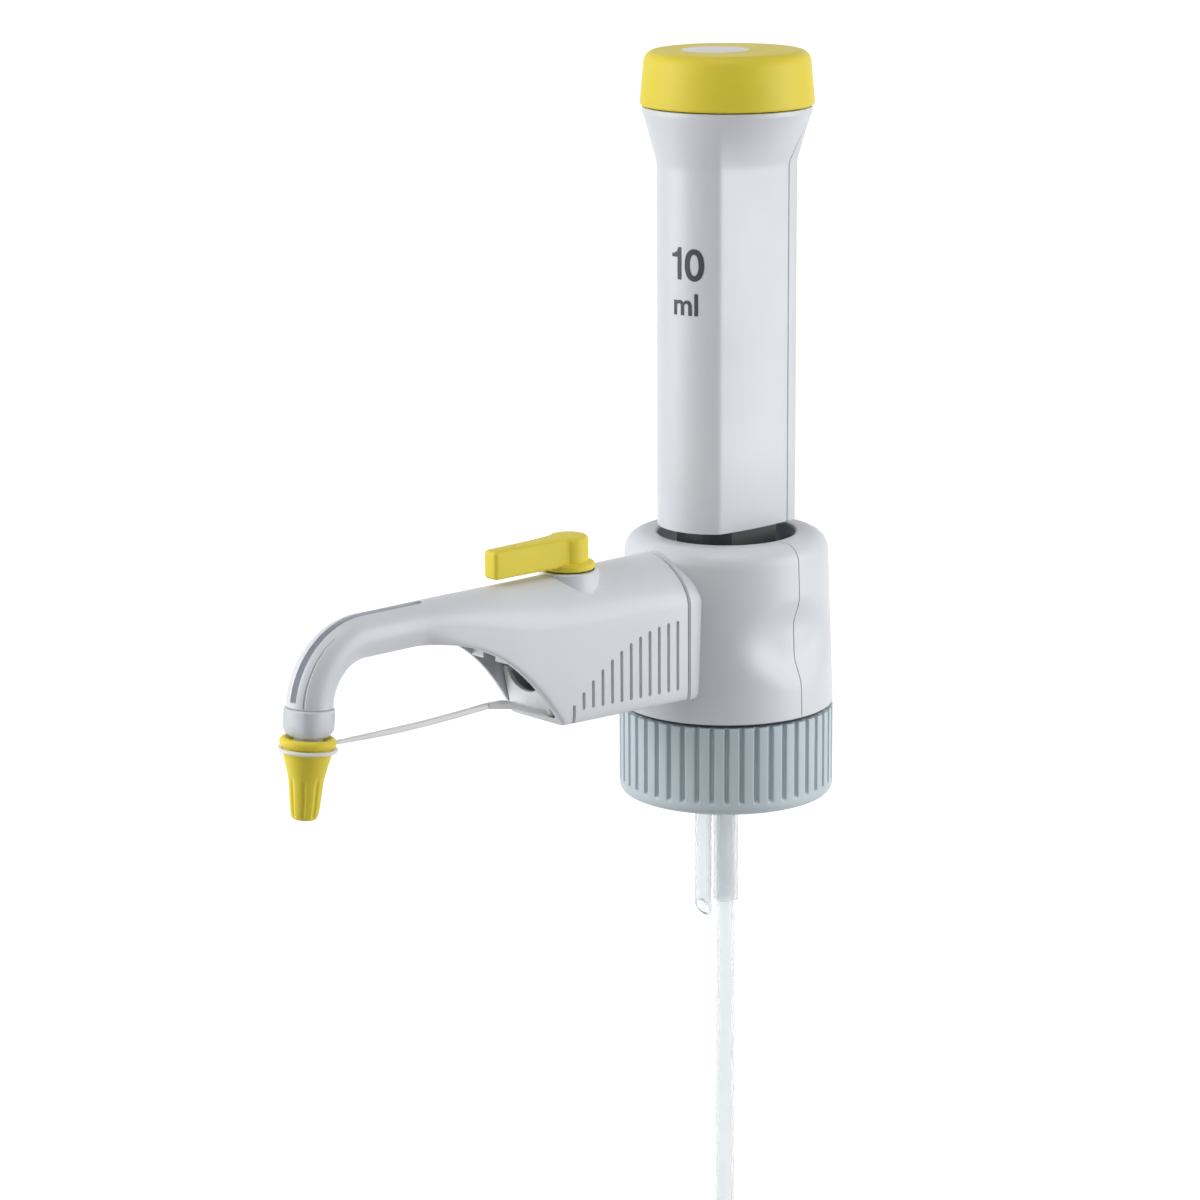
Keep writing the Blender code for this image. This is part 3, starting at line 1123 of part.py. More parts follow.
def make_nozzle():
    """Ferrule with its threaded nozzle, the screw cap, the strap and its anchor."""
    bore = OUTLET_TUBE_RADIUS + GAP
    edge = 0.6 * MM
    on_nozzle(turned("nozzle_ferrule", [
        (FERRULE_RADIUS - edge, FERRULE_HEIGHT), (FERRULE_RADIUS, FERRULE_HEIGHT - edge),
        (FERRULE_RADIUS, FERRULE_FOOT + edge), (FERRULE_RADIUS - edge, FERRULE_FOOT),
        (NOZZLE_RADIUS, FERRULE_FOOT), (NOZZLE_RADIUS, -NOZZLE_LENGTH + MM),
        (NOZZLE_RADIUS - MM, -NOZZLE_LENGTH), (bore, -NOZZLE_LENGTH), (bore, FERRULE_HEIGHT),
    ], FLUOROPOLYMER, steps=36))

    ring_round = CAP_RING_HEIGHT / 2
    ring_centre = (CAP_RING_RADIUS - ring_round, CAP_RING_RISE - ring_round)
    inner = NOZZLE_RADIUS + GAP
    tip_room = OUTLET_TUBE_RADIUS + 1.0 * MM
    groove_top = ring_centre[1] - ring_round
    groove_foot = groove_top - STRAP_RING_HEIGHT - 2 * GAP
    floor = -TIP_LENGTH - 1.5 * MM
    step = -NOZZLE_LENGTH - 1.0 * MM
    profile = [(0, floor), (tip_room, floor), (tip_room, step), (inner, step), (inner, ring_centre[1])]
    profile += round_corner(ring_centre, ring_round, 180, -90, 8)
    profile += [(SCREW_CAP_SHOULDER, groove_top), (SCREW_CAP_SHOULDER, groove_foot),
                (SCREW_CAP_WAIST, -0.48 * SCREW_CAP_LENGTH), (SCREW_CAP_FOOT, -0.78 * SCREW_CAP_LENGTH),
                (SCREW_CAP_END + SCREW_CAP_ROUND / 2, -SCREW_CAP_LENGTH + SCREW_CAP_ROUND),
                (SCREW_CAP_END - SCREW_CAP_ROUND / 2, -SCREW_CAP_LENGTH), (0, -SCREW_CAP_LENGTH)]
    cap = on_nozzle(turned("screw_cap", profile, YELLOW, steps=32, ring=False))
    for i in range(FLUTE_COUNT):
        angle = math.tau * (i + 0.5) / FLUTE_COUNT
        bm = bmesh.new()
        offset = SCREW_CAP_WAIST + FLUTE_RADIUS - 0.55 * MM
        bmesh.ops.create_cone(bm, cap_ends=True, segments=10, radius1=FLUTE_RADIUS, radius2=FLUTE_RADIUS,
                              depth=SCREW_CAP_LENGTH * 0.5)
        lean = math.atan2(SCREW_CAP_WAIST - SCREW_CAP_FOOT, SCREW_CAP_LENGTH * 0.45)
        shift = Matrix.Translation((offset - 0.45 * MM, 0, -SCREW_CAP_LENGTH * 0.8))
        matrix = Matrix.Rotation(angle, 4, 'Z') @ shift @ Matrix.Rotation(lean, 4, 'Y')
        bmesh.ops.transform(bm, matrix=matrix, verts=bm.verts)
        cut(cap, on_nozzle(add_object("cap_flute", mesh_from("cap_flute", bm), None)))

    band_top = groove_top - GAP
    band_foot = band_top - STRAP_RING_HEIGHT
    on_nozzle(turned("strap_ring", [
        (STRAP_RING_RADIUS, band_top), (STRAP_RING_RADIUS, band_foot),
        (SCREW_CAP_SHOULDER + GAP, band_foot), (SCREW_CAP_SHOULDER + GAP, band_top),
    ], FLUOROPOLYMER, steps=40))

    band_level = NOZZLE_LEVEL + (band_top + band_foot) / 2
    near = NOZZLE_REACH - STRAP_RING_RADIUS - GAP
    rings = []
    count = 8
    for i in range(count + 1):
        share = i / count
        reach = near + (STRAP_FAR_REACH - near) * share
        level = band_level + (STRAP_FAR_LEVEL - band_level) * share
        thick = STRAP_RING_HEIGHT / 2 + (STRAP_HALF - STRAP_RING_HEIGHT / 2) * min(1, 3 * share)
        rings.append([(-STRAP_HALF, -reach, level - thick), (STRAP_HALF, -reach, level - thick),
                      (STRAP_HALF, -reach, level + thick), (-STRAP_HALF, -reach, level + thick)])
    loft("cap_strap", rings, FLUOROPOLYMER)


def make_anchor():
    """Strap anchor: a holed tongue with an upright hook, resting on the arm's floor."""
    floor = ARM_FOOT + ARM_WALL + GAP
    far = STRAP_FAR_REACH - GAP
    line = [(MOUTH_START - ANCHOR_HOLD, floor), (MOUTH_START, floor),
            (far, STRAP_FAR_LEVEL - ANCHOR_THICKNESS / 2)]
    rings = []
    for reach, level in line:
        half = ANCHOR_HALF if reach < far else STRAP_HALF
        rings.append([(-half, -reach, level), (half, -reach, level),
                      (half, -reach, level + ANCHOR_THICKNESS), (-half, -reach, level + ANCHOR_THICKNESS)])
    anchor = loft("strap_anchor", rings, FLUOROPOLYMER)
    middle = MOUTH_START + HOOK_SETBACK
    nose = middle + HOOK_NOSE
    top = HOOK_LEVEL + HOOK_NOTCH / 2
    outline = [(nose, STRAP_FAR_LEVEL), (nose, HOOK_LEVEL), (nose - 2 * MM, top)]
    for i in range(9):
        angle = math.radians(30 - 240 * i / 8)
        outline.append((middle + HOOK_NOTCH * math.cos(angle), HOOK_LEVEL + HOOK_NOTCH * math.sin(angle)))
    outline += [(MOUTH_START - MM, top), (MOUTH_START - ANCHOR_HOLD / 2, floor + MM),
                (MOUTH_START, floor + ANCHOR_THICKNESS / 2)]
    join(anchor, loft("hook_web", [[(x, -reach, level) for reach, level in outline]
                                   for x in (-HOOK_WEB, HOOK_WEB)], None))


make_collar()
make_base()
make_core()
make_housing()
make_cylinder()
make_sleeve()
make_pads()
make_cap()
make_piston()
make_arm()
make_outlet()
make_lever()
make_nozzle()
make_anchor()
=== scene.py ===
"""Looks of a fixed-volume bottle top dispenser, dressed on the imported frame.

Metres, +Z up, as in the frame. The nozzle points along -Y, so a reach is a
distance from the piston's axis along -Y. Heights are above the plane where
the flask's neck rim meets the seal.
"""
from math import atan2, copysign, cos, hypot, pi, radians, sin, tan, tau

import bmesh
import bpy
from mathutils import Matrix, Vector


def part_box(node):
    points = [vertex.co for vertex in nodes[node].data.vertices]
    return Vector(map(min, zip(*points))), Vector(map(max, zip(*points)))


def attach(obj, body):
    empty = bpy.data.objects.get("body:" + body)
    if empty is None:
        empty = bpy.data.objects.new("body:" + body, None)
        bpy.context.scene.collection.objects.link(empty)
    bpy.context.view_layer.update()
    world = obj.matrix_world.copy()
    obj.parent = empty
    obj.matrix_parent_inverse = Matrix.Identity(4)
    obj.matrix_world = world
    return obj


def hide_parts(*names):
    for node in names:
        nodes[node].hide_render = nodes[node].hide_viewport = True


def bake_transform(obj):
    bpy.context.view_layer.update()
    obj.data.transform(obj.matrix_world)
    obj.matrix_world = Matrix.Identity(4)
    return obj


MM = 0.001
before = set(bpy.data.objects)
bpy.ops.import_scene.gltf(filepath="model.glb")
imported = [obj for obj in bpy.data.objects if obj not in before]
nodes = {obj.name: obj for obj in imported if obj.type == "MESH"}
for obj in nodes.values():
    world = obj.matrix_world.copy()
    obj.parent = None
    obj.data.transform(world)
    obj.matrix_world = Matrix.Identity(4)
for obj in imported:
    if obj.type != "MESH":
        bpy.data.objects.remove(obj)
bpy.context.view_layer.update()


def heights(name):
    """Lowest and greatest height of a CAD node."""
    low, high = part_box(name)
    return low.z, high.z


# Camera, as solved from the round edges in the photograph
PHOTO_PIXELS = 1200
FOCAL_PIXELS = 3850
SENSOR = 36.0
CAMERA_AZIMUTH = radians(45.5)
CAMERA_DISTANCE = 0.988
CAMERA_HEIGHT = 0.270
CAMERA_YAW = radians(1.93)
CAMERA_PITCH = radians(13.45)
CAMERA_ROLL = radians(-0.325)

# Sleeve and cap
SLEEVE_FOOT, SLEEVE_TOP = heights("sleeve_front")
SLEEVE_WALL = 1.6 * MM
SLEEVE_ARC_RADIUS = 15.0 * MM
SLEEVE_ARC_REACH = 4.3 * MM
SLEEVE_ARC_ANGLE = radians(50.8)
SLEEVE_SIDE_CROWN = 1.0 * MM
SLEEVE_SEAM = 10.5 * MM
SLEEVE_SEAM_GAP = 0.3 * MM
SLEEVE_PLAIN = 20.0 * MM  # rings of the plain part stand this far from its foot and from the flare
FLARE_STEPS = 24
FLARE_HEIGHT = 15.5 * MM
FLARE_RIM = 1.2 * MM
FLARE_RADIUS = 21.9 * MM
FLARE_KNEE = 0.16  # share of the flare over which it bends out
TOP_CAP_SEAM = 0.3 * MM
TOP_CAP_TAPER = 0.95 * MM
TOP_CAP_ROUND = 3.0 * MM
TOP_CAP_EASE = 0.7 * MM
TOP_CAP_LEDGE = 4.7 * MM  # from the rim in to the spigot
TOP_CAP_WALL = 2.0 * MM
TOP_CAP_ROOF = 2.4 * MM
LABEL_RADIUS = 8.9 * MM
LABEL_THICKNESS = 0.25 * MM
LABEL_PROUD = 0.02 * MM
LABEL_EDGE = 0.2 * MM
LABEL_OFFSET = 2.1 * MM  # off the cap's middle, along both level axes
PRINT_ANGLE = radians(15.5)
PRINT_LIFT = 0.05 * MM
NUMBER_HEIGHT = 8.3 * MM
NUMBER_FOOT = 121.2 * MM
UNIT_HEIGHT = 7.9 * MM
UNIT_FOOT = 112.2 * MM
NUMBER_WEIGHT = 0.2 * MM
UNIT_WEIGHT = 0.16 * MM
ZERO_SIZE = 1.37  # type size, and places of the digits, in shares of their height
ZERO_MIDDLE = 0.3
ONE_MIDDLE = -0.34

# Valve block housing
BLOCK_FOOT, BLOCK_TOP = heights("block_housing_front")
BLOCK_FOOT_RADIUS = 28.2 * MM
BLOCK_TOP_RADIUS = 26.7 * MM
BLOCK_WALL = 2.0 * MM
BLOCK_FOOT_EASE = 0.3 * MM
FLOOR_THICKNESS = 2.0 * MM
SHOULDER_ROUND = 5.0 * MM
MOUTH_RADIUS = 18.0 * MM
MOUTH_LIP = 0.7 * MM
WELL_DEPTH = 5.6 * MM
WELL_HOLE = 13.3 * MM
FLOOR_HOLE = 15.3 * MM
PARTING_GAP = 0.3 * MM
VENT_HOLE = 16.0 * MM
DIMPLE_DEPTH = 2.4 * MM
DIMPLE_HEIGHT = 24.0 * MM
DIMPLE_LEVEL = 27.3 * MM
DIMPLE_SPREAD = radians(40)
DIMPLE_FLAT = 0.3  # share of the dimple that is evenly deep

# Arm and spout
JOINT_REACH = 27.0 * MM
JOINT_GAP = 0.3 * MM
SADDLE_PROUD = 0.3 * MM
SADDLE_EASE = 0.3 * MM
CORE_REACH = 14.5 * MM
ROOT_EASE = 0.35 * MM
ARM_FOOT = 13.8 * MM
ARM_CREST = 50.9 * MM
ARM_SPRING = 39.1 * MM
ARM_ROOT_HALF = 14.2 * MM
ARM_MID_REACH = 64.0 * MM
ARM_MID_HALF = 10.9 * MM
ARM_WALL = 1.8 * MM
ARCH_POWER = 1.7
FOOT_POWER = 24.0
FOOT_ROUND_START = 12.0 * MM  # past the mouth's start the foot grows round
SPOUT_RADIUS = 5.5 * MM
SPOUT_END_RADIUS = 5.8 * MM
SPOUT_REACH = 108.0 * MM
SPOUT_LEVEL = ARM_CREST - SPOUT_RADIUS
MOUTH_START = 66.9 * MM
MOUTH_POWER = 2.5
MOUTH_RINGS = 44
MOUTH_CROWDING = 1.2  # over 1 draws the rings together at the mouth's start
ARM_STEP = 4.0 * MM
RING_POINTS = 112  # of each ring of arm and spout
CAVITY_STATIONS = (46, 64, 70, 76, 82, 88, 93, 97)  # reaches in mm
BEND_RADIUS = 15.8 * MM
NOZZLE_TILT = radians(5)
NOZZLE_POINT = Vector((0, -140.7, 22.9)) * MM
NOZZLE_UP = Vector((0, sin(NOZZLE_TILT), cos(NOZZLE_TILT)))
SLIT_COUNT = 12
SLIT_PITCH = 3.02 * MM
SLIT_WIDTH = 0.95 * MM
SLIT_DEPTH = 1.0 * MM
SLIT_START = 30.9 * MM
SLIT_FOOT = 17.1 * MM
SLIT_TOP = 35.8 * MM
SLIT_FALL = 15.2
SLOT_WIDTH = 1.9 * MM
SLOT_MIDDLE = 0.6 * MM
SLOT_DEPTH = 3.6 * MM
SLOT_START = 105.0 * MM
BORE_START = 95.0 * MM
GROOVE_START = 3.2 * MM  # shallow groove beside the slot, from here
GROOVE_END = 4.3 * MM  # to here off the middle
GROOVE_DEPTH = 0.6 * MM
GROOVE_FALL = 0.55 * MM  # how much lower the round spout lies there than at its middle
GROOVE_TURN = 0.35  # share of the bend after which it begins
TUBE_RADIUS = 1.3 * MM
TUBE_ROOM = 0.3 * MM
TUBE_WALL = 0.5 * MM
TUBE_CLIMB = 27.0 * MM  # reach over which it rises from the valve to the spout
TUBE_LEVEL = 30.0 * MM
RIB_COUNT = 2
RIB_START = 82.2 * MM
RIB_PITCH = 5.2 * MM
RIB_THICKNESS = 1.2 * MM
RIB_RISE = 0.4 * MM
SPARE = 3.0 * MM  # how far cutters reach past what they cut, and from the arm's root to its next ring

# Lever
LEVER_REACH = 56.0 * MM
LEVER_FOOT, LEVER_TOP = heights("purge_lever")
LEVER_FLANGE_RADIUS = 6.7 * MM
LEVER_FLANGE = 1.7 * MM
LEVER_HUB_RADIUS = 5.1 * MM
LEVER_LENGTH = 26.4 * MM
LEVER_NECK_HALF = 3.2 * MM
LEVER_TIP_HALF = 2.4 * MM
LEVER_FILLET = 9.0 * MM  # length of the hollow between hub and handle
LEVER_TIP_ROUND = 1.0 * MM
LEVER_RISE = 1.1 * MM
LEVER_TIP_DROP = 0.1 * MM
LEVER_EDGE = 1.2 * MM
FLANGE_EDGE = 0.5 * MM
FLANGE_RISE = 0.35 * MM  # from its rim to the hub
FOOT_EDGE = 0.3 * MM
HOLLOW_POWER = 1.6
HOLLOW_EASE = 0.7 * MM
BARREL_RADIUS = 6.3 * MM
BARREL_DEPTH = 16.0 * MM
BOSS_TOP = 1.0 * MM  # the boss's wall round the barrel at its top
BOSS_SIDE = 1.3 * MM  # and where its flare starts
BOSS_EDGE = 0.3 * MM
BOSS_FLARE = 2.6 * MM
BOSS_HEIGHT = 7.5 * MM
BOSS_POWER = 2.2
BOSS_STEPS = 12

# Nozzle, cap and strap
FERRULE_RADIUS = 6.25 * MM
FERRULE_HEIGHT = 7.6 * MM
FERRULE_FOOT = 0.5 * MM
FERRULE_ROUND = 2.6 * MM
FERRULE_EDGE = 0.6 * MM
NOZZLE_RADIUS = 3.5 * MM
NOZZLE_LENGTH = 11.0 * MM
THREAD_PITCH = 2.0 * MM
THREAD_DEPTH = 0.4 * MM
CAP_RING_RADIUS = 6.95 * MM
CAP_RING_HEIGHT = 2.4 * MM
CAP_RING_RISE = 0.3 * MM
CAP_LENGTH = 20.0 * MM
CAP_FLOOR = -17.6 * MM
CAP_SHOULDER = 6.05 * MM
CAP_BODY = ((7.4, 5.0), (10.0, 4.4), (12.6, 4.1), (17.6, 3.6))  # depth and radius in mm
CAP_END = 3.3 * MM
CAP_ROUND = 1.1 * MM
FLUTES = 8
FLUTE_DEPTH = 0.34 * MM
FLUTE_START = 8.5 * MM  # the flutes fade in from here
FLUTE_FULL = 11.0 * MM  # to here, and out
FLUTE_FADE = 18.5 * MM  # from here to the cap's end
STRAP_RING_RADIUS = 7.4 * MM
STRAP_RING_HEIGHT = 0.9 * MM
STRAP_HALF = 0.78 * MM
STRAP_FAR_LEVEL = 20.3 * MM
STRAP_SAG = 0.6 * MM
STRAP_POWER = 0.6  # under 1 squares its section
# Reach, level and half width along the anchor's tongue, in mm
TONGUE = ((61.0, 16.8, 6.8), (69.0, 16.8, 6.8), (73.0, 18.0, 5.4), (77.0, 19.4, 2.6), (83.6, 20.3, 0.78))
TONGUE_HALF = 0.75 * MM
# Half of the anchor's upright plate with its round notch: distance from the middle and level, in mm
PLATE = ((0, 16.8), (7.7, 16.8), (7.9, 26.4), (7.2, 27.6), (6.3, 27.3), (5.9, 25.4), (5.2, 24.0),
         (4.0, 22.8), (2.2, 21.9), (0, 21.6))
PLATE_FOOT = 67.9 * MM
PLATE_LEAN = 0.22  # reach that it gains for each mm of height
PLATE_THICKNESS = 1.5 * MM
SEAT_GAP = 0.3 * MM
FINE_EDGE = 0.22 * MM

# Collar
COLLAR_RADIUS = 28.35 * MM
COLLAR_FOOT, COLLAR_TOP = heights("mounting_collar")
COLLAR_RIBS = 45
COLLAR_RIB_DEPTH = 1.25 * MM
COLLAR_GROOVE = 1.15 * MM  # width of a groove at half its depth
GROOVE_FLOOR = 0.6  # shares of half that width: flat up to here,
GROOVE_BRIM = 1.4  # and at full radius from here
RIB_RUNOUT = 1.2 * MM
COLLAR_BAND = 3.0 * MM
COLLAR_FOOT_ROUND = 2.2 * MM
COLLAR_TOP_ROUND = 0.45 * MM
COLLAR_TOP_RIM = 0.3 * MM  # behind this rim the collar's top drops, so that the gap is dark
COLLAR_TOP_DROP = 1.7 * MM
COLLAR_BORE = 22.85 * MM
COLLAR_HOLE = 15.3 * MM
COLLAR_WEB = 2.5 * MM

# Filling tubes: body and wall thickness of each
TUBES = {"filling_tube_upper": ("valve_block", 0.6 * MM), "filling_tube_lower": ("lower_tube", 0.7 * MM)}
TUBE_EDGE = 0.12 * MM

# Studio, in metres
FLOOR_LEVEL = -0.166
FLOOR_HALF = 12.0
FLOOR_SHADOW_NEAR = 0.12  # from here the floor's shading fades
FLOOR_SHADOW_FAR = 0.7  # and from here it is plain white
FLOOR_LIFT = 0.70  # white that the eye sees on the floor, over its own light
ROOM_LIGHT = 0.09
LAMP_TARGET = Vector((0, -0.04, 0.05))
LAMP_SIZE = 0.6
# Turn from the camera's side and elevation in degrees, distance in metres, power in watts
LAMPS = {"left_softbox": (-79, 16, 0.7, 4.6), "right_softbox": (80, 8, 0.7, 3.9),
         "top_softbox": (0, 75, 1.0, 2.6)}

ACROSS = Vector((1, 0, 0))
OUTWARD = Vector((0, -1, 0))


# Materials

COLOUR_A, COLOUR_B, COLOUR_RESULT = 6, 7, 2  # places of a Mix node's colour sockets
FLOW_SCALE = 1000 / 18  # the drift repeats about every 18 mm


def linear(code):
    """Linear, opaque colour from an sRGB hex value."""
    channels = [int(code[i:i + 2], 16) / 255 for i in (0, 2, 4)]
    return [c / 12.92 if c <= 0.04045 else ((c + 0.055) / 1.055) ** 2.4 for c in channels] + [1.0]


def wire(tree, item, links):
    """Set a shader node's inputs: links maps an input's name to a value or a socket."""
    for key, value in links.items():
        if isinstance(value, bpy.types.NodeSocket):
            tree.links.new(value, item.inputs[key])
        else:
            item.inputs[key].default_value = value


def add(tree, kind, links=None, **settings):
    """Add a shader node with its settings and inputs, and return its outputs."""
    item = tree.nodes.new("ShaderNode" + kind)
    for key, value in settings.items():
        setattr(item, key, value)
    wire(tree, item, links or {})
    return item.outputs


def new_material(name):
    """Return a new material, its tree, its Principled shader and its object coordinates."""
    material = bpy.data.materials.new(name)
    material.use_nodes = True
    tree = material.node_tree
    return material, tree, tree.nodes["Principled BSDF"], add(tree, "TexCoord")["Object"]


def moulded(name, shade, deep, roughness, grain_mm, relief, ior=1.5, sheen=0.5):
    """Injection-moulded plastic: a slow drift of colour and gloss along the flow, and a fine grain."""
    material, tree, shader, spot = new_material(name)
    flow = add(tree, "TexNoise", {
        "Vector": spot, "Scale": FLOW_SCALE, "Detail": 3.0, "Roughness": 0.5})["Fac"]
    grain = add(tree, "TexNoise", {
        "Vector": spot, "Scale": 1000 / grain_mm, "Detail": 2.0, "Roughness": 0.6})["Fac"]
    tint = add(tree, "Mix", {"Factor": flow, COLOUR_A: linear(shade), COLOUR_B: linear(deep)},
               data_type='RGBA')
    gloss = add(tree, "MapRange", {
        "Value": flow, "From Min": 0.3, "From Max": 0.7,
        "To Min": roughness - 0.04, "To Max": roughness + 0.05})
    bump = add(tree, "Bump", {"Height": grain, "Strength": relief, "Distance": 0.1 * MM})
    wire(tree, shader, {"Base Color": tint[COLOUR_RESULT], "Roughness": gloss["Result"],
                        "Normal": bump["Normal"], "IOR": ior, "Specular IOR Level": sheen})
    return material


def clear_polymer(name, shade, transmission, roughness, ior):
    """Clear or milky material: soft in its highlights, and it lets light through."""
    material, tree, shader, spot = new_material(name)
    cloud = add(tree, "TexNoise", {"Vector": spot, "Scale": 140.0, "Detail": 2.0})
    gloss = add(tree, "MapRange", {
        "Value": cloud["Fac"], "To Min": roughness - 0.05, "To Max": roughness + 0.08})
    wire(tree, shader, {"Base Color": linear(shade), "Roughness": gloss["Result"],
                        "Transmission Weight": transmission, "IOR": ior})
    return material


def metal(name, shade, roughness):
    """Turned stainless steel with fine lathe marks."""
    material, tree, shader, spot = new_material(name)
    marks = add(tree, "TexWave", {"Vector": spot, "Scale": 900.0, "Distortion": 0.4},
                bands_direction='Z')
    bump = add(tree, "Bump", {
        "Height": marks["Fac"], "Strength": 0.15, "Distance": 0.05 * MM})
    wire(tree, shader, {"Base Color": linear(shade), "Roughness": roughness, "Metallic": 1.0,
                        "Normal": bump["Normal"]})
    return material


# ABS from a spark-eroded mould: pale blue-grey with a fine, even grain that softens the highlights
HOUSING_ABS = moulded("moulded_abs_pale_grey", "DDE0E5", "D7DAE0", 0.38, 0.45, 0.12, 1.53)
# Polypropylene collar, coloured through: a little waxier than ABS
COLLAR_PP = moulded("moulded_polypropylene_blue_grey", "C6D2D8", "BDCAD1", 0.42, 0.5, 0.15)
# Polypropylene with yellow pigment: its satin skin, with hardly any grain, scatters most of the sheen
YELLOW_PP = moulded("moulded_polypropylene_yellow", "ECD94A", "E7D341", 0.46, 0.5, 0.12, sheen=0.25)
# Glass-filled PPS of the cylinder guide: dull and nearly black
GUIDE_PPS = moulded("moulded_pps_dark_grey_green", "3B4443", "343C3B", 0.5, 0.5, 0.2)
# Fluoro rubber seals: black and matt
SEAL_RUBBER = moulded("moulded_fluoro_rubber_black", "1E1F20", "191A1B", 0.6, 0.4, 0.2)
# Thick moulded PFA: milky, light goes into it and comes out diffuse
MILKY_PFA = clear_polymer("moulded_pfa_milky", "E6E9EE", 0.45, 0.34, 1.35)
# Thin moulded PFA of strap, band and anchor: whiter and less clear
STRAP_PFA = clear_polymer("moulded_pfa_strap", "F2F3F4", 0.1, 0.4, 1.35)
# Drawn FEP tube: clear, with a soft haze
TUBE_FEP = clear_polymer("drawn_fep_tube", "F7FAFB", 0.86, 0.2, 1.34)
# Polished alumina balls: white and glossy
CERAMIC = moulded("polished_alumina", "EFEDE7", "EAE8E1", 0.12, 0.6, 0.02, 1.76)
# Stainless steel off the lathe: fine rings round the axis
STEEL = metal("turned_stainless_steel", "C9CACC", 0.28)
# Drawn borosilicate glass: clear, smooth
GLASS = clear_polymer("drawn_borosilicate_glass", "FBFDFD", 1.0, 0.06, 1.47)
# Pad-printing ink: a thin dull film
INK = moulded("pad_print_ink_dark_grey", "2B353E", "262F38", 0.5, 0.4, 0.1)
# Calendered PVC film of the cap's blank label: smooth and off-white
LABEL = moulded("calendered_pvc_label", "EDEDEA", "EAEAE7", 0.4, 0.4, 0.08)


# Mesh helpers

def link(name, data):
    """Put a new object into the scene."""
    item = bpy.data.objects.new(name, data)
    bpy.context.scene.collection.objects.link(item)
    return item


def final_mesh(item):
    """A new mesh of what an object's curve or modifiers make."""
    bpy.context.view_layer.update()
    return bpy.data.meshes.new_from_object(item.evaluated_get(bpy.context.evaluated_depsgraph_get()))


def resmooth(item, sharp=35):
    """Shade smooth, with sharp edges from an angle on."""
    item.data.shade_smooth()
    item.data.set_sharp_from_angle(angle=radians(sharp))
    return item


def into_scene(name, bm, material=HOUSING_ABS, sharp=35):
    """Turn a bmesh into a smooth-shaded object with its faces pointing out."""
    bmesh.ops.recalc_face_normals(bm, faces=bm.faces)
    mesh = bpy.data.meshes.new(name)
    bm.to_mesh(mesh)
    bm.free()
    mesh.materials.append(material)
    return resmooth(link(name, mesh), sharp)


def loft(bm, rings, looped=False, sheet=False):
    """Add faces between rings of equal length: with end faces, looped to the first, or as an open sheet."""
    rows = [[bm.verts.new(point) for point in ring] for ring in rings]
    if looped:
        rows.append(rows[0])
    count = len(rows[0])
    for lower, upper in zip(rows, rows[1:]):
        for i in range(count - sheet):
            j = (i + 1) % count
            bm.faces.new((lower[i], lower[j], upper[j], upper[i]))
    if not looped and not sheet:
        bm.faces.new(rows[0])
        bm.faces.new(rows[-1])


def skin(name, rings, material=HOUSING_ABS, sharp=35, **how):
    """A piece from rings, which loft joins."""
    bm = bmesh.new()
    loft(bm, rings, **how)
    return into_scene(name, bm, material, sharp)


def polar(radius, angle):
    """Level coordinates at a radius and an angle from +X."""
    return radius * cos(angle), radius * sin(angle)


def lathe(name, profile, material, steps=96):
    """Turn a profile of (radius, height) round Z; points on the axis close it."""
    rings = []
    bm = bmesh.new()
    turns = [tau * i / steps for i in range(steps)]
    for radius, height in profile:
        angles = turns if radius > 0 else turns[:1]
        rings.append([bm.verts.new((*polar(radius, turn), height)) for turn in angles])
    pairs = list(zip(rings, rings[1:]))
    if len(rings[0]) > 1:
        pairs.append((rings[-1], rings[0]))
    for lower, upper in pairs:
        for i in range(steps):
            j = (i + 1) % steps
            face = list(dict.fromkeys((lower[i % len(lower)], lower[j % len(lower)],
                                       upper[j % len(upper)], upper[i % len(upper)])))
            if len(face) > 2:
                bm.faces.new(face)
    return into_scene(name, bm, material)


def rod(name, radius, top, foot, steps=64):
    """A plain upright cylinder, to cut with."""
    return lathe(name, [(0, top), (radius, top), (radius, foot), (0, foot)], HOUSING_ABS, steps)


def arc(centre, radius, start, end, steps=8):
    """Points of an arc in a profile, angles in degrees."""
    points = []
    for i in range(steps + 1):
        x, y = polar(radius, radians(start + (end - start) * i / steps))
        points.append((centre[0] + x, centre[1] + y))
    return points


def round_edge(radius, height, size, start, end, steps=8):
    """Points of an edge's rounding in a profile; angles below 0 round the edge of an underside."""
    inset = size if start + end > 0 else -size
    return arc((radius - size, height - inset), size, start, end, steps)


def modify(item, kind, **settings):
    """Apply one modifier to a piece at once."""
    modifier = item.modifiers.new(kind.lower(), kind)
    for key, value in settings.items():
        setattr(modifier, key, value)
    fresh = final_mesh(item)
    item.modifiers.clear()
    item.data = fresh


def soften(item, width, segments=2):
    """Round a piece's sharp edges."""
    modify(item, 'BEVEL', width=width, segments=segments, limit_method='ANGLE', angle_limit=radians(50))


def carve(item, *tools, operation='DIFFERENCE'):
    """Cut tools out of a piece, or join them to it, and drop the tools."""
    for tool in tools:
        modify(item, 'BOOLEAN', operation=operation, solver='EXACT', object=tool)
        bpy.data.objects.remove(tool)


def place(item, body, slot, *replaced):
    """Hang a finished piece on its body, in place of the CAD nodes it stands for."""
    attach(item, body)
    if replaced:
        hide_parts(*replaced)


def on_nozzle(item):
    """Stand a piece on the nozzle's tilted axis."""
    item.location = NOZZLE_POINT
    item.rotation_euler = (-NOZZLE_TILT, 0, 0)
    return item


def on_pivot(item):
    """Stand a piece on the lever's axis."""
    item.location = (0, -LEVER_REACH, 0)
    return item


# Sleeve and cap

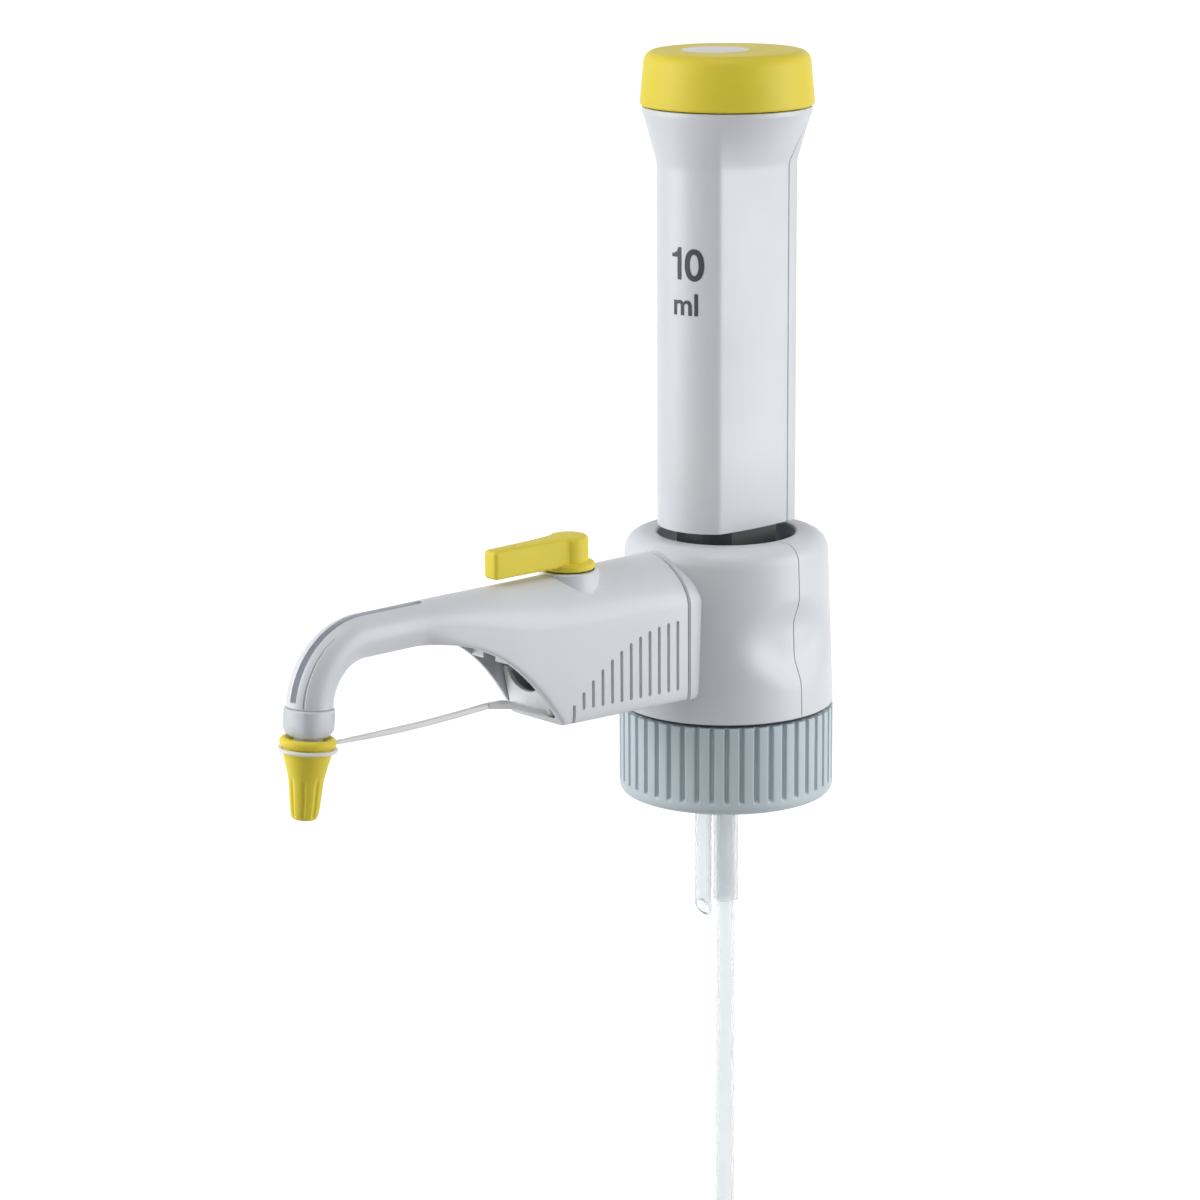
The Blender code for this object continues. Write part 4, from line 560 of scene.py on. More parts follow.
def sleeve_section(samples=320, passes=5):
    """The sleeve's outside as a closed line from the rear round: arcs, crowned sides and eased ridges."""
    steps = 24
    right = []
    for i in range(steps + 1):
        angle = SLEEVE_ARC_ANGLE * i / steps
        right.append(Vector((SLEEVE_ARC_RADIUS * sin(angle),
                             -SLEEVE_ARC_REACH - SLEEVE_ARC_RADIUS * cos(angle))))
    half, corner = right[-1].x, -right[-1].y
    for i in range(1, steps):
        share = 2 * i / steps - 1
        right.append(Vector((half + SLEEVE_SIDE_CROWN * (1 - share ** 2), share * corner)))
    right += [Vector((p.x, -p.y)) for p in reversed(right[:steps + 1])]
    left = [Vector((-p.x, p.y)) for p in reversed(right[1:-1])]
    loop = resample(right[::-1] + left[::-1], samples)
    for _ in range(passes):
        loop = [(loop[i - 1] + 2 * loop[i] + loop[(i + 1) % samples]) / 4 for i in range(samples)]
    return loop


def resample(loop, samples):
    """Spread points evenly along a closed line."""
    points = loop + [loop[0]]
    lengths = [0.0]
    for first, second in zip(points, points[1:]):
        lengths.append(lengths[-1] + (second - first).length)
    result = []
    index = 0
    for i in range(samples):
        target = lengths[-1] * i / samples
        while lengths[index + 1] < target:
            index += 1
        share = (target - lengths[index]) / (lengths[index + 1] - lengths[index])
        result.append(points[index].lerp(points[index + 1], share))
    return result


def flare_share(height):
    """How far the section has grown from the sleeve's own shape to the round rim."""
    t = max(0.0, (height - SLEEVE_TOP + FLARE_HEIGHT) / (FLARE_HEIGHT - FLARE_RIM))
    value = t * t / (2 * FLARE_KNEE) if t < FLARE_KNEE else t - FLARE_KNEE / 2
    return min(1.0, value / (1 - FLARE_KNEE / 2))


def make_sleeve():
    """The two sleeve shells with their seam, each as a wall of even thickness."""
    loop = sleeve_section()
    front_end = SLEEVE_SEAM - SLEEVE_SEAM_GAP / 2
    rear_end = SLEEVE_SEAM + SLEEVE_SEAM_GAP / 2
    front = match_ends([p for p in loop if p.y <= front_end], front_end)
    half = len(loop) // 2
    rear = match_ends([p for p in loop[half:] + loop[:half] if p.y > rear_end], rear_end)
    start = SLEEVE_TOP - FLARE_HEIGHT
    levels = [SLEEVE_FOOT, SLEEVE_FOOT + SLEEVE_PLAIN, start - SLEEVE_PLAIN]
    levels += [start + (FLARE_HEIGHT - FLARE_RIM) * i / FLARE_STEPS for i in range(-1, FLARE_STEPS + 1)]
    levels.append(SLEEVE_TOP)
    for name, line in (("sleeve_front", front), ("sleeve_rear", rear)):
        rings = [[(*p.lerp(p.normalized() * FLARE_RADIUS, flare_share(height)), height) for p in line]
                 for height in levels]
        item = skin("looks_" + name, rings, sheet=True)
        face = item.data.polygons[0]
        if face.normal.dot(face.center) < 0:
            item.data.flip_normals()
        modify(item, 'SOLIDIFY', thickness=SLEEVE_WALL, offset=-1.0, use_even_offset=True)
        soften(item, FINE_EDGE)
        place(resmooth(item), "piston_carriage", "housing", name)


def match_ends(line, level):
    """Draw a line's two ends to one depth, so that a seam stays even."""
    return [Vector((line[0].x, level))] + line[1:-1] + [Vector((line[-1].x, level))]


def make_top_cap():
    """Yellow cap, slightly tapered, with a soft shoulder, and a round label let into its top."""
    low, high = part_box("top_cap")
    foot = SLEEVE_TOP + TOP_CAP_SEAM
    spigot = high.x - TOP_CAP_LEDGE
    roof = high.z - TOP_CAP_ROOF
    profile = [(0, high.z)] + round_edge(high.x - TOP_CAP_TAPER, high.z, TOP_CAP_ROUND, 90, 6, 14)
    profile += round_edge(high.x, foot, TOP_CAP_EASE, 0, -90, 5)
    profile += [(spigot, foot), (spigot, low.z), (spigot - TOP_CAP_WALL, low.z),
                (spigot - TOP_CAP_WALL, roof), (0, roof)]
    cap = lathe("looks_top_cap", profile, YELLOW_PP, steps=160)
    place(cap, "piston_carriage", "yellow", "top_cap")
    label = lathe("cap_label", [
        (0, 0), (LABEL_RADIUS - LABEL_EDGE, 0), (LABEL_RADIUS, -LABEL_EDGE / 2),
        (LABEL_RADIUS, -LABEL_THICKNESS), (0, -LABEL_THICKNESS)], LABEL)
    label.location = (-LABEL_OFFSET, -LABEL_OFFSET, high.z + LABEL_PROUD)
    place(label, "piston_carriage", "housing")


def typed(bm, words, size, weight, middle):
    """Add the faces of plain typed words, centred on a place."""
    curve = bpy.data.curves.new("typed", 'FONT')
    curve.body = words
    curve.align_x = 'CENTER'
    curve.size = size
    curve.offset = weight
    curve.resolution_u = 6
    draft = link("typed", curve)
    mesh = final_mesh(draft)
    bpy.data.objects.remove(draft)
    mesh.transform(Matrix.Translation((middle, 0, 0)))
    bm.from_mesh(mesh)


def digit_one(bm, height, middle):
    """Add a digit one with a short flag, drawn in shares of its height."""
    outline = [(0.05, 0.0), (0.2, 0.0), (0.2, 1.0), (0.08, 1.0), (0.03, 0.87), (-0.08, 0.81), (-0.17, 0.8),
               (-0.17, 0.69), (0.05, 0.69)]
    bm.faces.new([bm.verts.new((middle + x * height, y * height, 0)) for x, y in outline])


def print_on_sleeve(name, bm, foot):
    """Bend flat print round the sleeve's front, a hair above its surface."""
    strip = 0.6 * MM
    reach = max(abs(vert.co.x) for vert in bm.verts)
    for i in range(-int(reach / strip), int(reach / strip) + 1):
        bmesh.ops.bisect_plane(bm, geom=bm.verts[:] + bm.edges[:] + bm.faces[:], plane_co=(i * strip, 0, 0),
                               plane_no=(1, 0, 0))
    radius = SLEEVE_ARC_RADIUS + PRINT_LIFT
    for vert in bm.verts:
        angle = PRINT_ANGLE + vert.co.x / SLEEVE_ARC_RADIUS
        vert.co = (radius * sin(angle), -SLEEVE_ARC_REACH - radius * cos(angle), foot + vert.co.y)
    place(into_scene(name, bm, INK), "piston_carriage", "dark")


def make_print():
    """The capacity, ten millilitres, in plain bold type."""
    number = bmesh.new()
    digit_one(number, NUMBER_HEIGHT, ONE_MIDDLE * NUMBER_HEIGHT)
    typed(number, "0", ZERO_SIZE * NUMBER_HEIGHT, NUMBER_WEIGHT, ZERO_MIDDLE * NUMBER_HEIGHT)
    print_on_sleeve("capacity_number", number, NUMBER_FOOT)
    unit = bmesh.new()
    typed(unit, "ml", UNIT_HEIGHT, UNIT_WEIGHT, 0)
    print_on_sleeve("capacity_unit", unit, UNIT_FOOT)


# Valve block housing

def housing_profile():
    """Section of the round housing, from the foot up the outside and back down the inside."""
    corner = (BLOCK_TOP_RADIUS - SHOULDER_ROUND, BLOCK_TOP - SHOULDER_ROUND)
    well = BLOCK_TOP - WELL_DEPTH
    neck = MOUTH_RADIUS + BLOCK_WALL
    inner_foot = BLOCK_FOOT + FLOOR_THICKNESS
    levels = 30
    wall = [(BLOCK_FOOT_RADIUS + (BLOCK_TOP_RADIUS - BLOCK_FOOT_RADIUS) * i / levels,
             BLOCK_FOOT + (corner[1] - BLOCK_FOOT) * i / levels) for i in range(levels)]
    wall[0] = (BLOCK_FOOT_RADIUS, BLOCK_FOOT + BLOCK_FOOT_EASE)
    profile = [(BLOCK_FOOT_RADIUS - BLOCK_FOOT_EASE, BLOCK_FOOT)] + wall
    profile += arc(corner, SHOULDER_ROUND, 0, 90, 12)
    profile += arc((MOUTH_RADIUS + MOUTH_LIP, BLOCK_TOP - MOUTH_LIP), MOUTH_LIP, 90, 180, 4)
    profile += [(MOUTH_RADIUS, well), (WELL_HOLE, well), (WELL_HOLE, well - BLOCK_WALL),
                (neck, well - BLOCK_WALL), (neck, BLOCK_TOP - BLOCK_WALL)]
    profile += arc(corner, SHOULDER_ROUND - BLOCK_WALL, 90, 0, 4)
    profile += [(radius - BLOCK_WALL, max(height, inner_foot)) for radius, height in wall[::-1]]
    return profile + [(FLOOR_HOLE, inner_foot), (FLOOR_HOLE, BLOCK_FOOT)]


def dimple_depth(across, height):
    """How far a finger dimple presses the wall in, at an angle and a height from its middle."""
    upright = (height - DIMPLE_LEVEL) / (DIMPLE_HEIGHT / 2)
    return DIMPLE_DEPTH * (1 - ease(DIMPLE_FLAT, 1.0, hypot(across / DIMPLE_SPREAD, upright)))


def housing_half(name, side):
    """One half of the housing, with half a dimple at each end."""
    rings = []
    steps = 72
    for i in range(steps + 1):
        angle = pi * i / steps
        ring = []
        for radius, height in housing_profile():
            x, y = polar(radius - dimple_depth(min(angle, pi - angle), height), angle)
            ring.append((x, side * (y + PARTING_GAP / 2), height))
        rings.append(ring)
    return skin(name, rings)


def joint_block(name, *stations):
    """A block with the outline of the arm's root, from reaches and how much the outline grows there."""
    return skin(name, [arm_ring(JOINT_REACH, where, grow) for where, grow in stations])


def make_housing():
    """Front shell with the saddle for the arm, and rear shell with the hole for the vent cap."""
    front = housing_half("looks_housing_front", -1)
    rear = housing_half("looks_housing_rear", 1)
    saddle = joint_block("saddle", (MOUTH_RADIUS, SADDLE_PROUD), (BLOCK_TOP_RADIUS, SADDLE_PROUD / 2),
                         (JOINT_REACH - SADDLE_EASE, 0), (JOINT_REACH, -SADDLE_EASE))
    carve(front, saddle, operation='UNION')
    carve(front, joint_block("throat", (CORE_REACH, -ARM_WALL), (JOINT_REACH + MM, -ARM_WALL)),
          joint_block("recess", (JOINT_REACH, JOINT_GAP), (BLOCK_FOOT_RADIUS + SPARE, JOINT_GAP)))
    low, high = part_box("vent_cap")
    hole = rod("vent_hole", high.x + SEAT_GAP, VENT_HOLE / 2, -VENT_HOLE / 2, 48)
    hole.rotation_euler = (radians(90), 0, 0)
    hole.location = (0, high.y - VENT_HOLE / 4, (low.z + high.z) / 2)
    carve(rear, hole)
    place(resmooth(front), "valve_block", "housing", "block_housing_front")
    place(resmooth(rear), "valve_block", "housing", "block_housing_rear")


# Arm

def ease(low, high, value):
    """Smooth share between two values, 0 below the first and 1 above the second."""
    share = min(1.0, max(0.0, (value - low) / (high - low)))
    return share * share * (3 - 2 * share)


def arm_half(reach):
    """Half width of the arm in plan."""
    if reach < ARM_MID_REACH:
        slope = (ARM_ROOT_HALF - ARM_MID_HALF) / (ARM_MID_REACH - JOINT_REACH)
        return ARM_ROOT_HALF - slope * (reach - JOINT_REACH)
    share = min(1.0, (reach - ARM_MID_REACH) / (SPOUT_REACH - ARM_MID_REACH))
    return ARM_MID_HALF + (SPOUT_RADIUS - ARM_MID_HALF) * share


def arm_foot(reach):
    """Lower edge of the arm, which climbs from the foot to the spout in one sweep."""
    if reach <= MOUTH_START:
        return ARM_FOOT
    spout_foot = ARM_CREST - 2 * SPOUT_RADIUS
    share = max(0.0, (SPOUT_REACH - reach) / (SPOUT_REACH - MOUTH_START))
    return spout_foot - (spout_foot - ARM_FOOT) * share ** MOUTH_POWER


def arm_spring(reach):
    """Height where the arm's arch springs from its sides."""
    return ARM_SPRING + (SPOUT_LEVEL - ARM_SPRING) * ease(MOUTH_START, SPOUT_REACH, reach)


def bulged(value, power):
    """Raise a sine or cosine to a power under its own sign: under 1, a round outline grows squarer."""
    return copysign(abs(value) ** power, value)


def arm_ring(reach, where=None, grow=0.0, foot=None):
    """Outline of the arm across its length: an arch on a squarer foot."""
    share = ease(MOUTH_START, SPOUT_REACH, reach)
    half = arm_half(reach) + grow
    level = arm_spring(reach)
    rise = ARM_CREST + grow - level
    fall = level - ((arm_foot(reach) if foot is None else foot) - grow)
    arch = ARCH_POWER + (2 - ARCH_POWER) * share
    square = FOOT_POWER + (2 - FOOT_POWER) * ease(MOUTH_START + FOOT_ROUND_START, SPOUT_REACH, reach)
    points = []
    for i in range(RING_POINTS):
        cosine, sine = polar(1, tau * i / RING_POINTS)
        height, power = (rise, 2 / arch) if sine >= 0 else (fall, 2 / square)
        points.append((half * bulged(cosine, power), -(reach if where is None else where),
                       level + height * bulged(sine, power)))
    return points


def spout_line(end_rise=None, steps=28):
    """Points and directions of the spout's bend, and of its end at a rise over the ferrule's foot."""
    end = SPOUT_LEVEL - BEND_RADIUS * (1 - sin(NOZZLE_TILT)) - NOZZLE_POINT.z
    start = -NOZZLE_POINT.y - end * tan(NOZZLE_TILT) - BEND_RADIUS * cos(NOZZLE_TILT)
    sweep = radians(90) - NOZZLE_TILT
    stations = []
    for i in range(steps + 1):
        angle = sweep * i / steps
        level = SPOUT_LEVEL - BEND_RADIUS * (1 - cos(angle))
        stations.append((Vector((0, -start - BEND_RADIUS * sin(angle), level)),
                         Vector((0, -cos(angle), -sin(angle)))))
    if end_rise is not None:
        stations.append((NOZZLE_POINT + NOZZLE_UP * end_rise, -NOZZLE_UP))
    return stations


def spout_ring(spot, heading, radius, steps=RING_POINTS):
    """A round ring across the spout."""
    up = heading.cross(ACROSS)
    return [spot + radius * (ACROSS * cos(tau * i / steps) + up * sin(tau * i / steps))
            for i in range(steps)]


def bar_along_spout(name, stations, middle, half, below, above):
    """A cutter of square section that follows the spout's outer side, with a rounded first end."""
    first, heading = stations[0]
    rounded = [(first + heading * half * (1 - cos(turn)), heading, half * sin(turn))
               for turn in (0.25, 0.55, 0.95, 1.35)]
    rings = []
    for spot, heading, wide in rounded + [(spot, heading, half) for spot, heading in stations[1:]]:
        up = heading.cross(ACROSS)
        rings.append([spot + ACROSS * (middle + x) + up * z for x, z in (
            (-wide, below), (wide, below), (wide, above), (-wide, above))])
    return skin(name, rings)


def slit_cutters():
    """The upright slits of both sides, as one cutter with pointed-round ends."""
    bm = bmesh.new()
    half = SLIT_WIDTH / 2
    for i in range(SLIT_COUNT):
        reach = SLIT_START + i * SLIT_PITCH
        top = SLIT_TOP - SLIT_FALL * (reach - SLIT_START) ** 2
        foot = SLIT_FOOT if i < SLIT_COUNT - 1 else ARM_FOOT - 2 * MM
        outline = [(-reach + half, foot + half), (-reach + half, top - half), (-reach, top),
                   (-reach - half, top - half), (-reach - half, foot + half), (-reach, foot)]
        for side in (-1, 1):
            loft(bm, [[(side * x, y, z) for y, z in outline]
                      for x in (arm_half(reach) - SLIT_DEPTH, arm_half(reach) + MM)])
    return into_scene("slits", bm)


def mouth_ribs():
    """Cross ribs in the arm's mouth, split to let the discharge tube by."""
    bm = bmesh.new()
    gap = TUBE_RADIUS + MM
    for i in range(RIB_COUNT):
        reach = RIB_START + i * RIB_PITCH
        half = arm_half(reach) - ARM_WALL / 2
        foot = arm_foot(reach) + RIB_RISE
        top = arm_spring(reach)
        for side in (-1, 1):
            centre = (side * (half + gap) / 2, -reach, (top + foot) / 2)
            matrix = Matrix.Translation(centre) @ Matrix.Diagonal((half - gap, RIB_THICKNESS, top - foot, 1))
            bmesh.ops.create_cube(bm, size=1.0, matrix=matrix)
    return into_scene("ribs", bm)


def make_arm():
    """Arm housing: hollow arch with slits, a boss for the lever, an open mouth and the bent spout."""
    root = JOINT_REACH + JOINT_GAP
    rings = [arm_ring(root, root, -ROOT_EASE), arm_ring(root + ROOT_EASE, root + ROOT_EASE)]
    reach = root + SPARE
    while reach < MOUTH_START:
        rings.append(arm_ring(reach))
        reach += ARM_STEP
    for i in range(MOUTH_RINGS + 1):
        share = (i / MOUTH_RINGS) ** MOUTH_CROWDING
        rings.append(arm_ring(MOUTH_START + (SPOUT_REACH - MOUTH_START) * share))
    line = spout_line(FERRULE_HEIGHT + SEAT_GAP)
    for i, (spot, heading) in enumerate(line):
        radius = SPOUT_RADIUS + (SPOUT_END_RADIUS - SPOUT_RADIUS) * i / (len(line) - 1)
        rings.append(spout_ring(spot, heading, radius))
    arm = skin("looks_arm_housing", rings)

    steps = [root - MM] + [step * MM for step in CAVITY_STATIONS]
    carve(arm, skin("cavity", [arm_ring(step, None, -ARM_WALL, ARM_FOOT) for step in steps]))
    top = LEVER_FOOT - SEAT_GAP
    flare = [(BARREL_RADIUS + BOSS_SIDE + BOSS_FLARE * (i / BOSS_STEPS) ** BOSS_POWER,
              top - BOSS_EDGE - BOSS_HEIGHT * i / BOSS_STEPS) for i in range(BOSS_STEPS + 1)]
    profile = [(0, top), (BARREL_RADIUS + BOSS_TOP, top)] + flare + [(0, flare[-1][1])]
    boss = on_pivot(lathe("boss", profile, HOUSING_ABS))
    carve(arm, boss, mouth_ribs(), operation='UNION')
    barrel = on_pivot(rod("barrel_hole", BARREL_RADIUS + SEAT_GAP, top + SPARE, top - BARREL_DEPTH))
    line = [(Vector((0, -BORE_START, SPOUT_LEVEL)), OUTWARD)] + spout_line(0, 16)
    bore = skin("bore", [spout_ring(spot, heading, TUBE_RADIUS + TUBE_ROOM, 24) for spot, heading in line])
    above = SPOUT_END_RADIUS + 2 * MM
    bend = spout_line()
    line = [(Vector((0, -SLOT_START, SPOUT_LEVEL)), OUTWARD)] + bend[:-1]
    slot = bar_along_spout("slot", line, SLOT_MIDDLE, SLOT_WIDTH / 2, SPOUT_RADIUS - SLOT_DEPTH, above)
    middle, half = (GROOVE_START + GROOVE_END) / 2, (GROOVE_END - GROOVE_START) / 2
    below = SPOUT_RADIUS - GROOVE_DEPTH - GROOVE_FALL
    line = bend[int(GROOVE_TURN * len(bend)):]
    grooves = [bar_along_spout("groove", line, side * middle, half, below, above) for side in (-1, 1)]
    carve(arm, barrel, slit_cutters(), bore, slot, *grooves)
    place(resmooth(arm, 30), "valve_block", "housing", "arm_housing")


# Lever

def make_lever():
    """Yellow lever: flange, round hub and a handle that narrows to its tip, all with soft edges."""
    flange_top = LEVER_FOOT + LEVER_FLANGE
    profile = [(0, flange_top + MM), (LEVER_HUB_RADIUS + FLANGE_EDGE, flange_top + FLANGE_RISE)]
    profile += [(LEVER_FLANGE_RADIUS - FLANGE_EDGE, flange_top)]
    profile += round_edge(LEVER_FLANGE_RADIUS, flange_top, FLANGE_EDGE, 80, 0, 5)
    profile += [(LEVER_FLANGE_RADIUS, LEVER_FOOT + FOOT_EDGE),
                (LEVER_FLANGE_RADIUS - FOOT_EDGE, LEVER_FOOT), (0, LEVER_FOOT)]
    flange = on_pivot(lathe("looks_lever_flange", profile, YELLOW_PP))
    outline = lever_outline()
    foot = LEVER_FOOT + LEVER_RISE
    handle = on_pivot(skin("looks_lever_handle", [
        [(x, y, foot) for x, y in outline],
        [(x, y, LEVER_TOP - LEVER_TIP_DROP * max(0.0, -y) / LEVER_LENGTH) for x, y in outline]], YELLOW_PP))
    soften(handle, LEVER_EDGE, 6)
    carve(handle, flange, operation='UNION')
    place(resmooth(handle, 40), "lever", "yellow", "purge_lever")


def handle_half(reach):
    """Half width of the handle at a distance from the pivot, wider in the hollow beside the hub."""
    straight = LEVER_NECK_HALF + (LEVER_TIP_HALF - LEVER_NECK_HALF) * reach / LEVER_LENGTH
    hollow = max(0.0, 1 - reach / (LEVER_HUB_RADIUS + LEVER_FILLET))
    return straight + (LEVER_HUB_RADIUS - LEVER_NECK_HALF - HOLLOW_EASE) * hollow ** HOLLOW_POWER


def lever_outline():
    """Plan of the handle: the hub's circle, hollows on both sides, and a blunt tip with round corners."""
    right = []
    for turn in range(90, -90, -3):
        x, y = polar(LEVER_HUB_RADIUS, radians(turn))
        if y < 0 and x < handle_half(-y):
            break
        right.append((x, y))
    reach = MM - right[-1][1]
    while reach < LEVER_LENGTH - LEVER_TIP_ROUND - MM / 2:
        right.append((handle_half(reach), -reach))
        reach += MM
    right += round_edge(LEVER_TIP_HALF, -LEVER_LENGTH, LEVER_TIP_ROUND, 0, -90, 6)
    return right + [(-x, y) for x, y in right[:0:-1]]


# Nozzle

def make_nozzle():
    """Ferrule with its threaded nozzle, screw cap with flutes, its band and the strap."""
    bore = TUBE_RADIUS + TUBE_ROOM
    body = [(bore, FERRULE_HEIGHT)] + round_edge(FERRULE_RADIUS, FERRULE_HEIGHT, FERRULE_EDGE, 90, 0, 5)
    body += round_edge(FERRULE_RADIUS, FERRULE_FOOT, FERRULE_ROUND, 0, -80, 10)
    body.append((NOZZLE_RADIUS, FERRULE_FOOT - 0.2 * MM))
    root = NOZZLE_RADIUS - THREAD_DEPTH
    for i in range(int(NOZZLE_LENGTH / THREAD_PITCH - 1)):
        level = -THREAD_PITCH * (i + 0.5)
        body += [(NOZZLE_RADIUS, level), (root, level - THREAD_PITCH / 4), (root, level - THREAD_PITCH / 2),
                 (NOZZLE_RADIUS, level - 3 * THREAD_PITCH / 4)]
    body += [(NOZZLE_RADIUS, -NOZZLE_LENGTH + MM), (NOZZLE_RADIUS - MM, -NOZZLE_LENGTH),
             (bore, -NOZZLE_LENGTH)]
    place(on_nozzle(lathe("looks_nozzle_ferrule", body, MILKY_PFA)),
          "valve_block", "fluoropolymer", "nozzle_ferrule")

    half_ring = CAP_RING_HEIGHT / 2
    centre = (CAP_RING_RADIUS - half_ring, CAP_RING_RISE - half_ring)
    under_ring = centre[1] - half_ring
    groove = under_ring - STRAP_RING_HEIGHT - SEAT_GAP
    inner = NOZZLE_RADIUS + SEAT_GAP
    room = TUBE_RADIUS + MM
    profile = [(0, CAP_FLOOR), (room, CAP_FLOOR), (room, -NOZZLE_LENGTH - MM),
               (inner, -NOZZLE_LENGTH - MM)]
    profile += [(inner, centre[1])] + arc(centre, half_ring, 180, -90, 24)
    profile += bend_through([(CAP_SHOULDER, under_ring), (CAP_SHOULDER, groove)]
                            + [(radius * MM, -depth * MM) for depth, radius in CAP_BODY]
                            + [(CAP_END + 0.02 * MM, -CAP_LENGTH + 1.1 * CAP_ROUND)])
    profile += round_edge(CAP_END, -CAP_LENGTH, CAP_ROUND, 0, -90)
    profile.append((0, -CAP_LENGTH))
    cap = on_nozzle(lathe("looks_screw_cap", profile, YELLOW_PP, steps=240))
    for vert in cap.data.vertices:
        radius = hypot(vert.co.x, vert.co.y)
        if vert.co.z < groove and radius > room + MM / 2:
            depth = FLUTE_DEPTH * ease(FLUTE_START, FLUTE_FULL, -vert.co.z)
            depth *= 1 - ease(FLUTE_FADE, CAP_LENGTH, -vert.co.z)
            ripple = max(0.0, cos(FLUTES * atan2(vert.co.y, vert.co.x))) ** 1.5
            vert.co.xy *= (radius - depth * ripple) / radius
    place(resmooth(cap, 40), "nozzle_cap", "yellow", "screw_cap")

    band_top = under_ring - SEAT_GAP / 2
    half_band = STRAP_RING_HEIGHT / 2
    outer_band = arc((STRAP_RING_RADIUS - half_band, band_top - half_band), half_band, 90, -90, 8)
    band = on_nozzle(lathe("looks_strap_ring", [(CAP_SHOULDER + SEAT_GAP / 2, band_top)] + outer_band + [
        (CAP_SHOULDER + SEAT_GAP / 2, band_top - STRAP_RING_HEIGHT)], STRAP_PFA))
    place(band, "cap_ring", "fluoropolymer", "strap_ring")
    make_strap(NOZZLE_POINT.z + band_top - half_band)


def bend_through(points, steps=6):
    """A smooth line through the corners of a profile (Catmull-Rom)."""
    corners = [Vector(p) for p in points]
    corners = [2 * corners[0] - corners[1]] + corners + [2 * corners[-1] - corners[-2]]
    line = []
    for before, start, end, after in zip(corners, corners[1:], corners[2:], corners[3:]):
        for i in range(steps):
            t = i / steps
            line.append(((2 * start + (end - before) * t + (2 * before - 5 * start + 4 * end - after) * t ** 2
                          + (3 * start - before - 3 * end + after) * t ** 3) / 2)[:])
    return line + [tuple(points[-1])]


def make_strap(start_level):
    """The cap's strap: a thin strip with eased edges, from the band to the anchor's tongue."""
    low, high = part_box("cap_strap")
    near = -low.y
    far = -high.y
    rings = []
    count, corners = 32, 24
    for i in range(count + 1):
        share = i / count
        reach = near + (far - near) * share
        level = start_level + (STRAP_FAR_LEVEL - start_level) * share - STRAP_SAG * sin(pi * share)
        thick = STRAP_RING_HEIGHT / 2 + (STRAP_HALF - STRAP_RING_HEIGHT / 2) * min(1.0, 3 * share)
        rings.append([(STRAP_HALF * bulged(cos(tau * k / corners), STRAP_POWER), -reach,
                       level + thick * bulged(sin(tau * k / corners), STRAP_POWER)) for k in range(corners)])
    strap = skin("looks_cap_strap", rings, STRAP_PFA, sharp=50)
    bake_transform(strap)
    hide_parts("cap_strap")


def make_anchor():
    """The strap's anchor: a tongue along the arm's floor and an upright plate with a round notch."""
    rings = []
    for reach, level, half in TONGUE:
        rings.append([(side * half * MM, -reach * MM, level * MM + up * TONGUE_HALF)
                      for side, up in ((-1, -1), (1, -1), (1, 1), (-1, 1))])
    anchor = skin("looks_strap_anchor", rings, STRAP_PFA)
    outline = list(PLATE) + [(-x, level) for x, level in PLATE[-2:0:-1]]
    foot = PLATE[0][1]
    plate = skin("plate", [[(x * MM, -PLATE_FOOT - step - PLATE_LEAN * (level - foot) * MM, level * MM)
                            for x, level in outline] for step in (0, PLATE_THICKNESS)], STRAP_PFA)
    carve(anchor, plate, operation='UNION')
    soften(anchor, FINE_EDGE)
    place(resmooth(anchor), "valve_block", "fluoropolymer", "strap_anchor")


# Collar

def make_collar():
    """Ribbed collar: soft ribs over a plain band, with a rounded foot and a rim round its sunk top."""
    per_rib = 16
    count = COLLAR_RIBS * per_rib
    middle = COLLAR_GROOVE / 2 / (pi * COLLAR_RADIUS / COLLAR_RIBS)

    def ring(radius, height, depth):
        points = []
        for i in range(count):
            away = abs((i % per_rib) / per_rib - 0.5) * 2
            cut = radius - depth * (1 - ease(GROOVE_FLOOR * middle, GROOVE_BRIM * middle, away))
            points.append((*polar(cut, tau * (i / count)), height))
        return points

    foot = round_edge(COLLAR_RADIUS, COLLAR_FOOT, COLLAR_FOOT_ROUND, -90, 0)
    top = round_edge(COLLAR_RADIUS, COLLAR_TOP, COLLAR_TOP_ROUND, 0, 90, 6)
    rings = [ring(*spot, 0) for spot in [(COLLAR_BORE, COLLAR_FOOT)] + foot]
    for share in (0, 0.2, 0.4, 0.6, 0.8, 1):
        height = COLLAR_FOOT + COLLAR_BAND + RIB_RUNOUT * share
        rings.append(ring(COLLAR_RADIUS, height, COLLAR_RIB_DEPTH * ease(0, 1, share)))
    rings += [ring(*spot, COLLAR_RIB_DEPTH) for spot in top]
    web_foot = COLLAR_TOP - COLLAR_WEB
    rim = COLLAR_RADIUS - COLLAR_RIB_DEPTH - COLLAR_TOP_RIM
    drop = COLLAR_TOP - COLLAR_TOP_DROP
    top = ((rim, COLLAR_TOP), (rim, drop), (COLLAR_HOLE, drop), (COLLAR_HOLE, web_foot),
           (COLLAR_BORE, web_foot))
    rings += [ring(*spot, 0) for spot in top]
    collar = skin("looks_mounting_collar", rings, COLLAR_PP, 50, looped=True)
    place(collar, "collar", "collar", "mounting_collar")


# Tubes

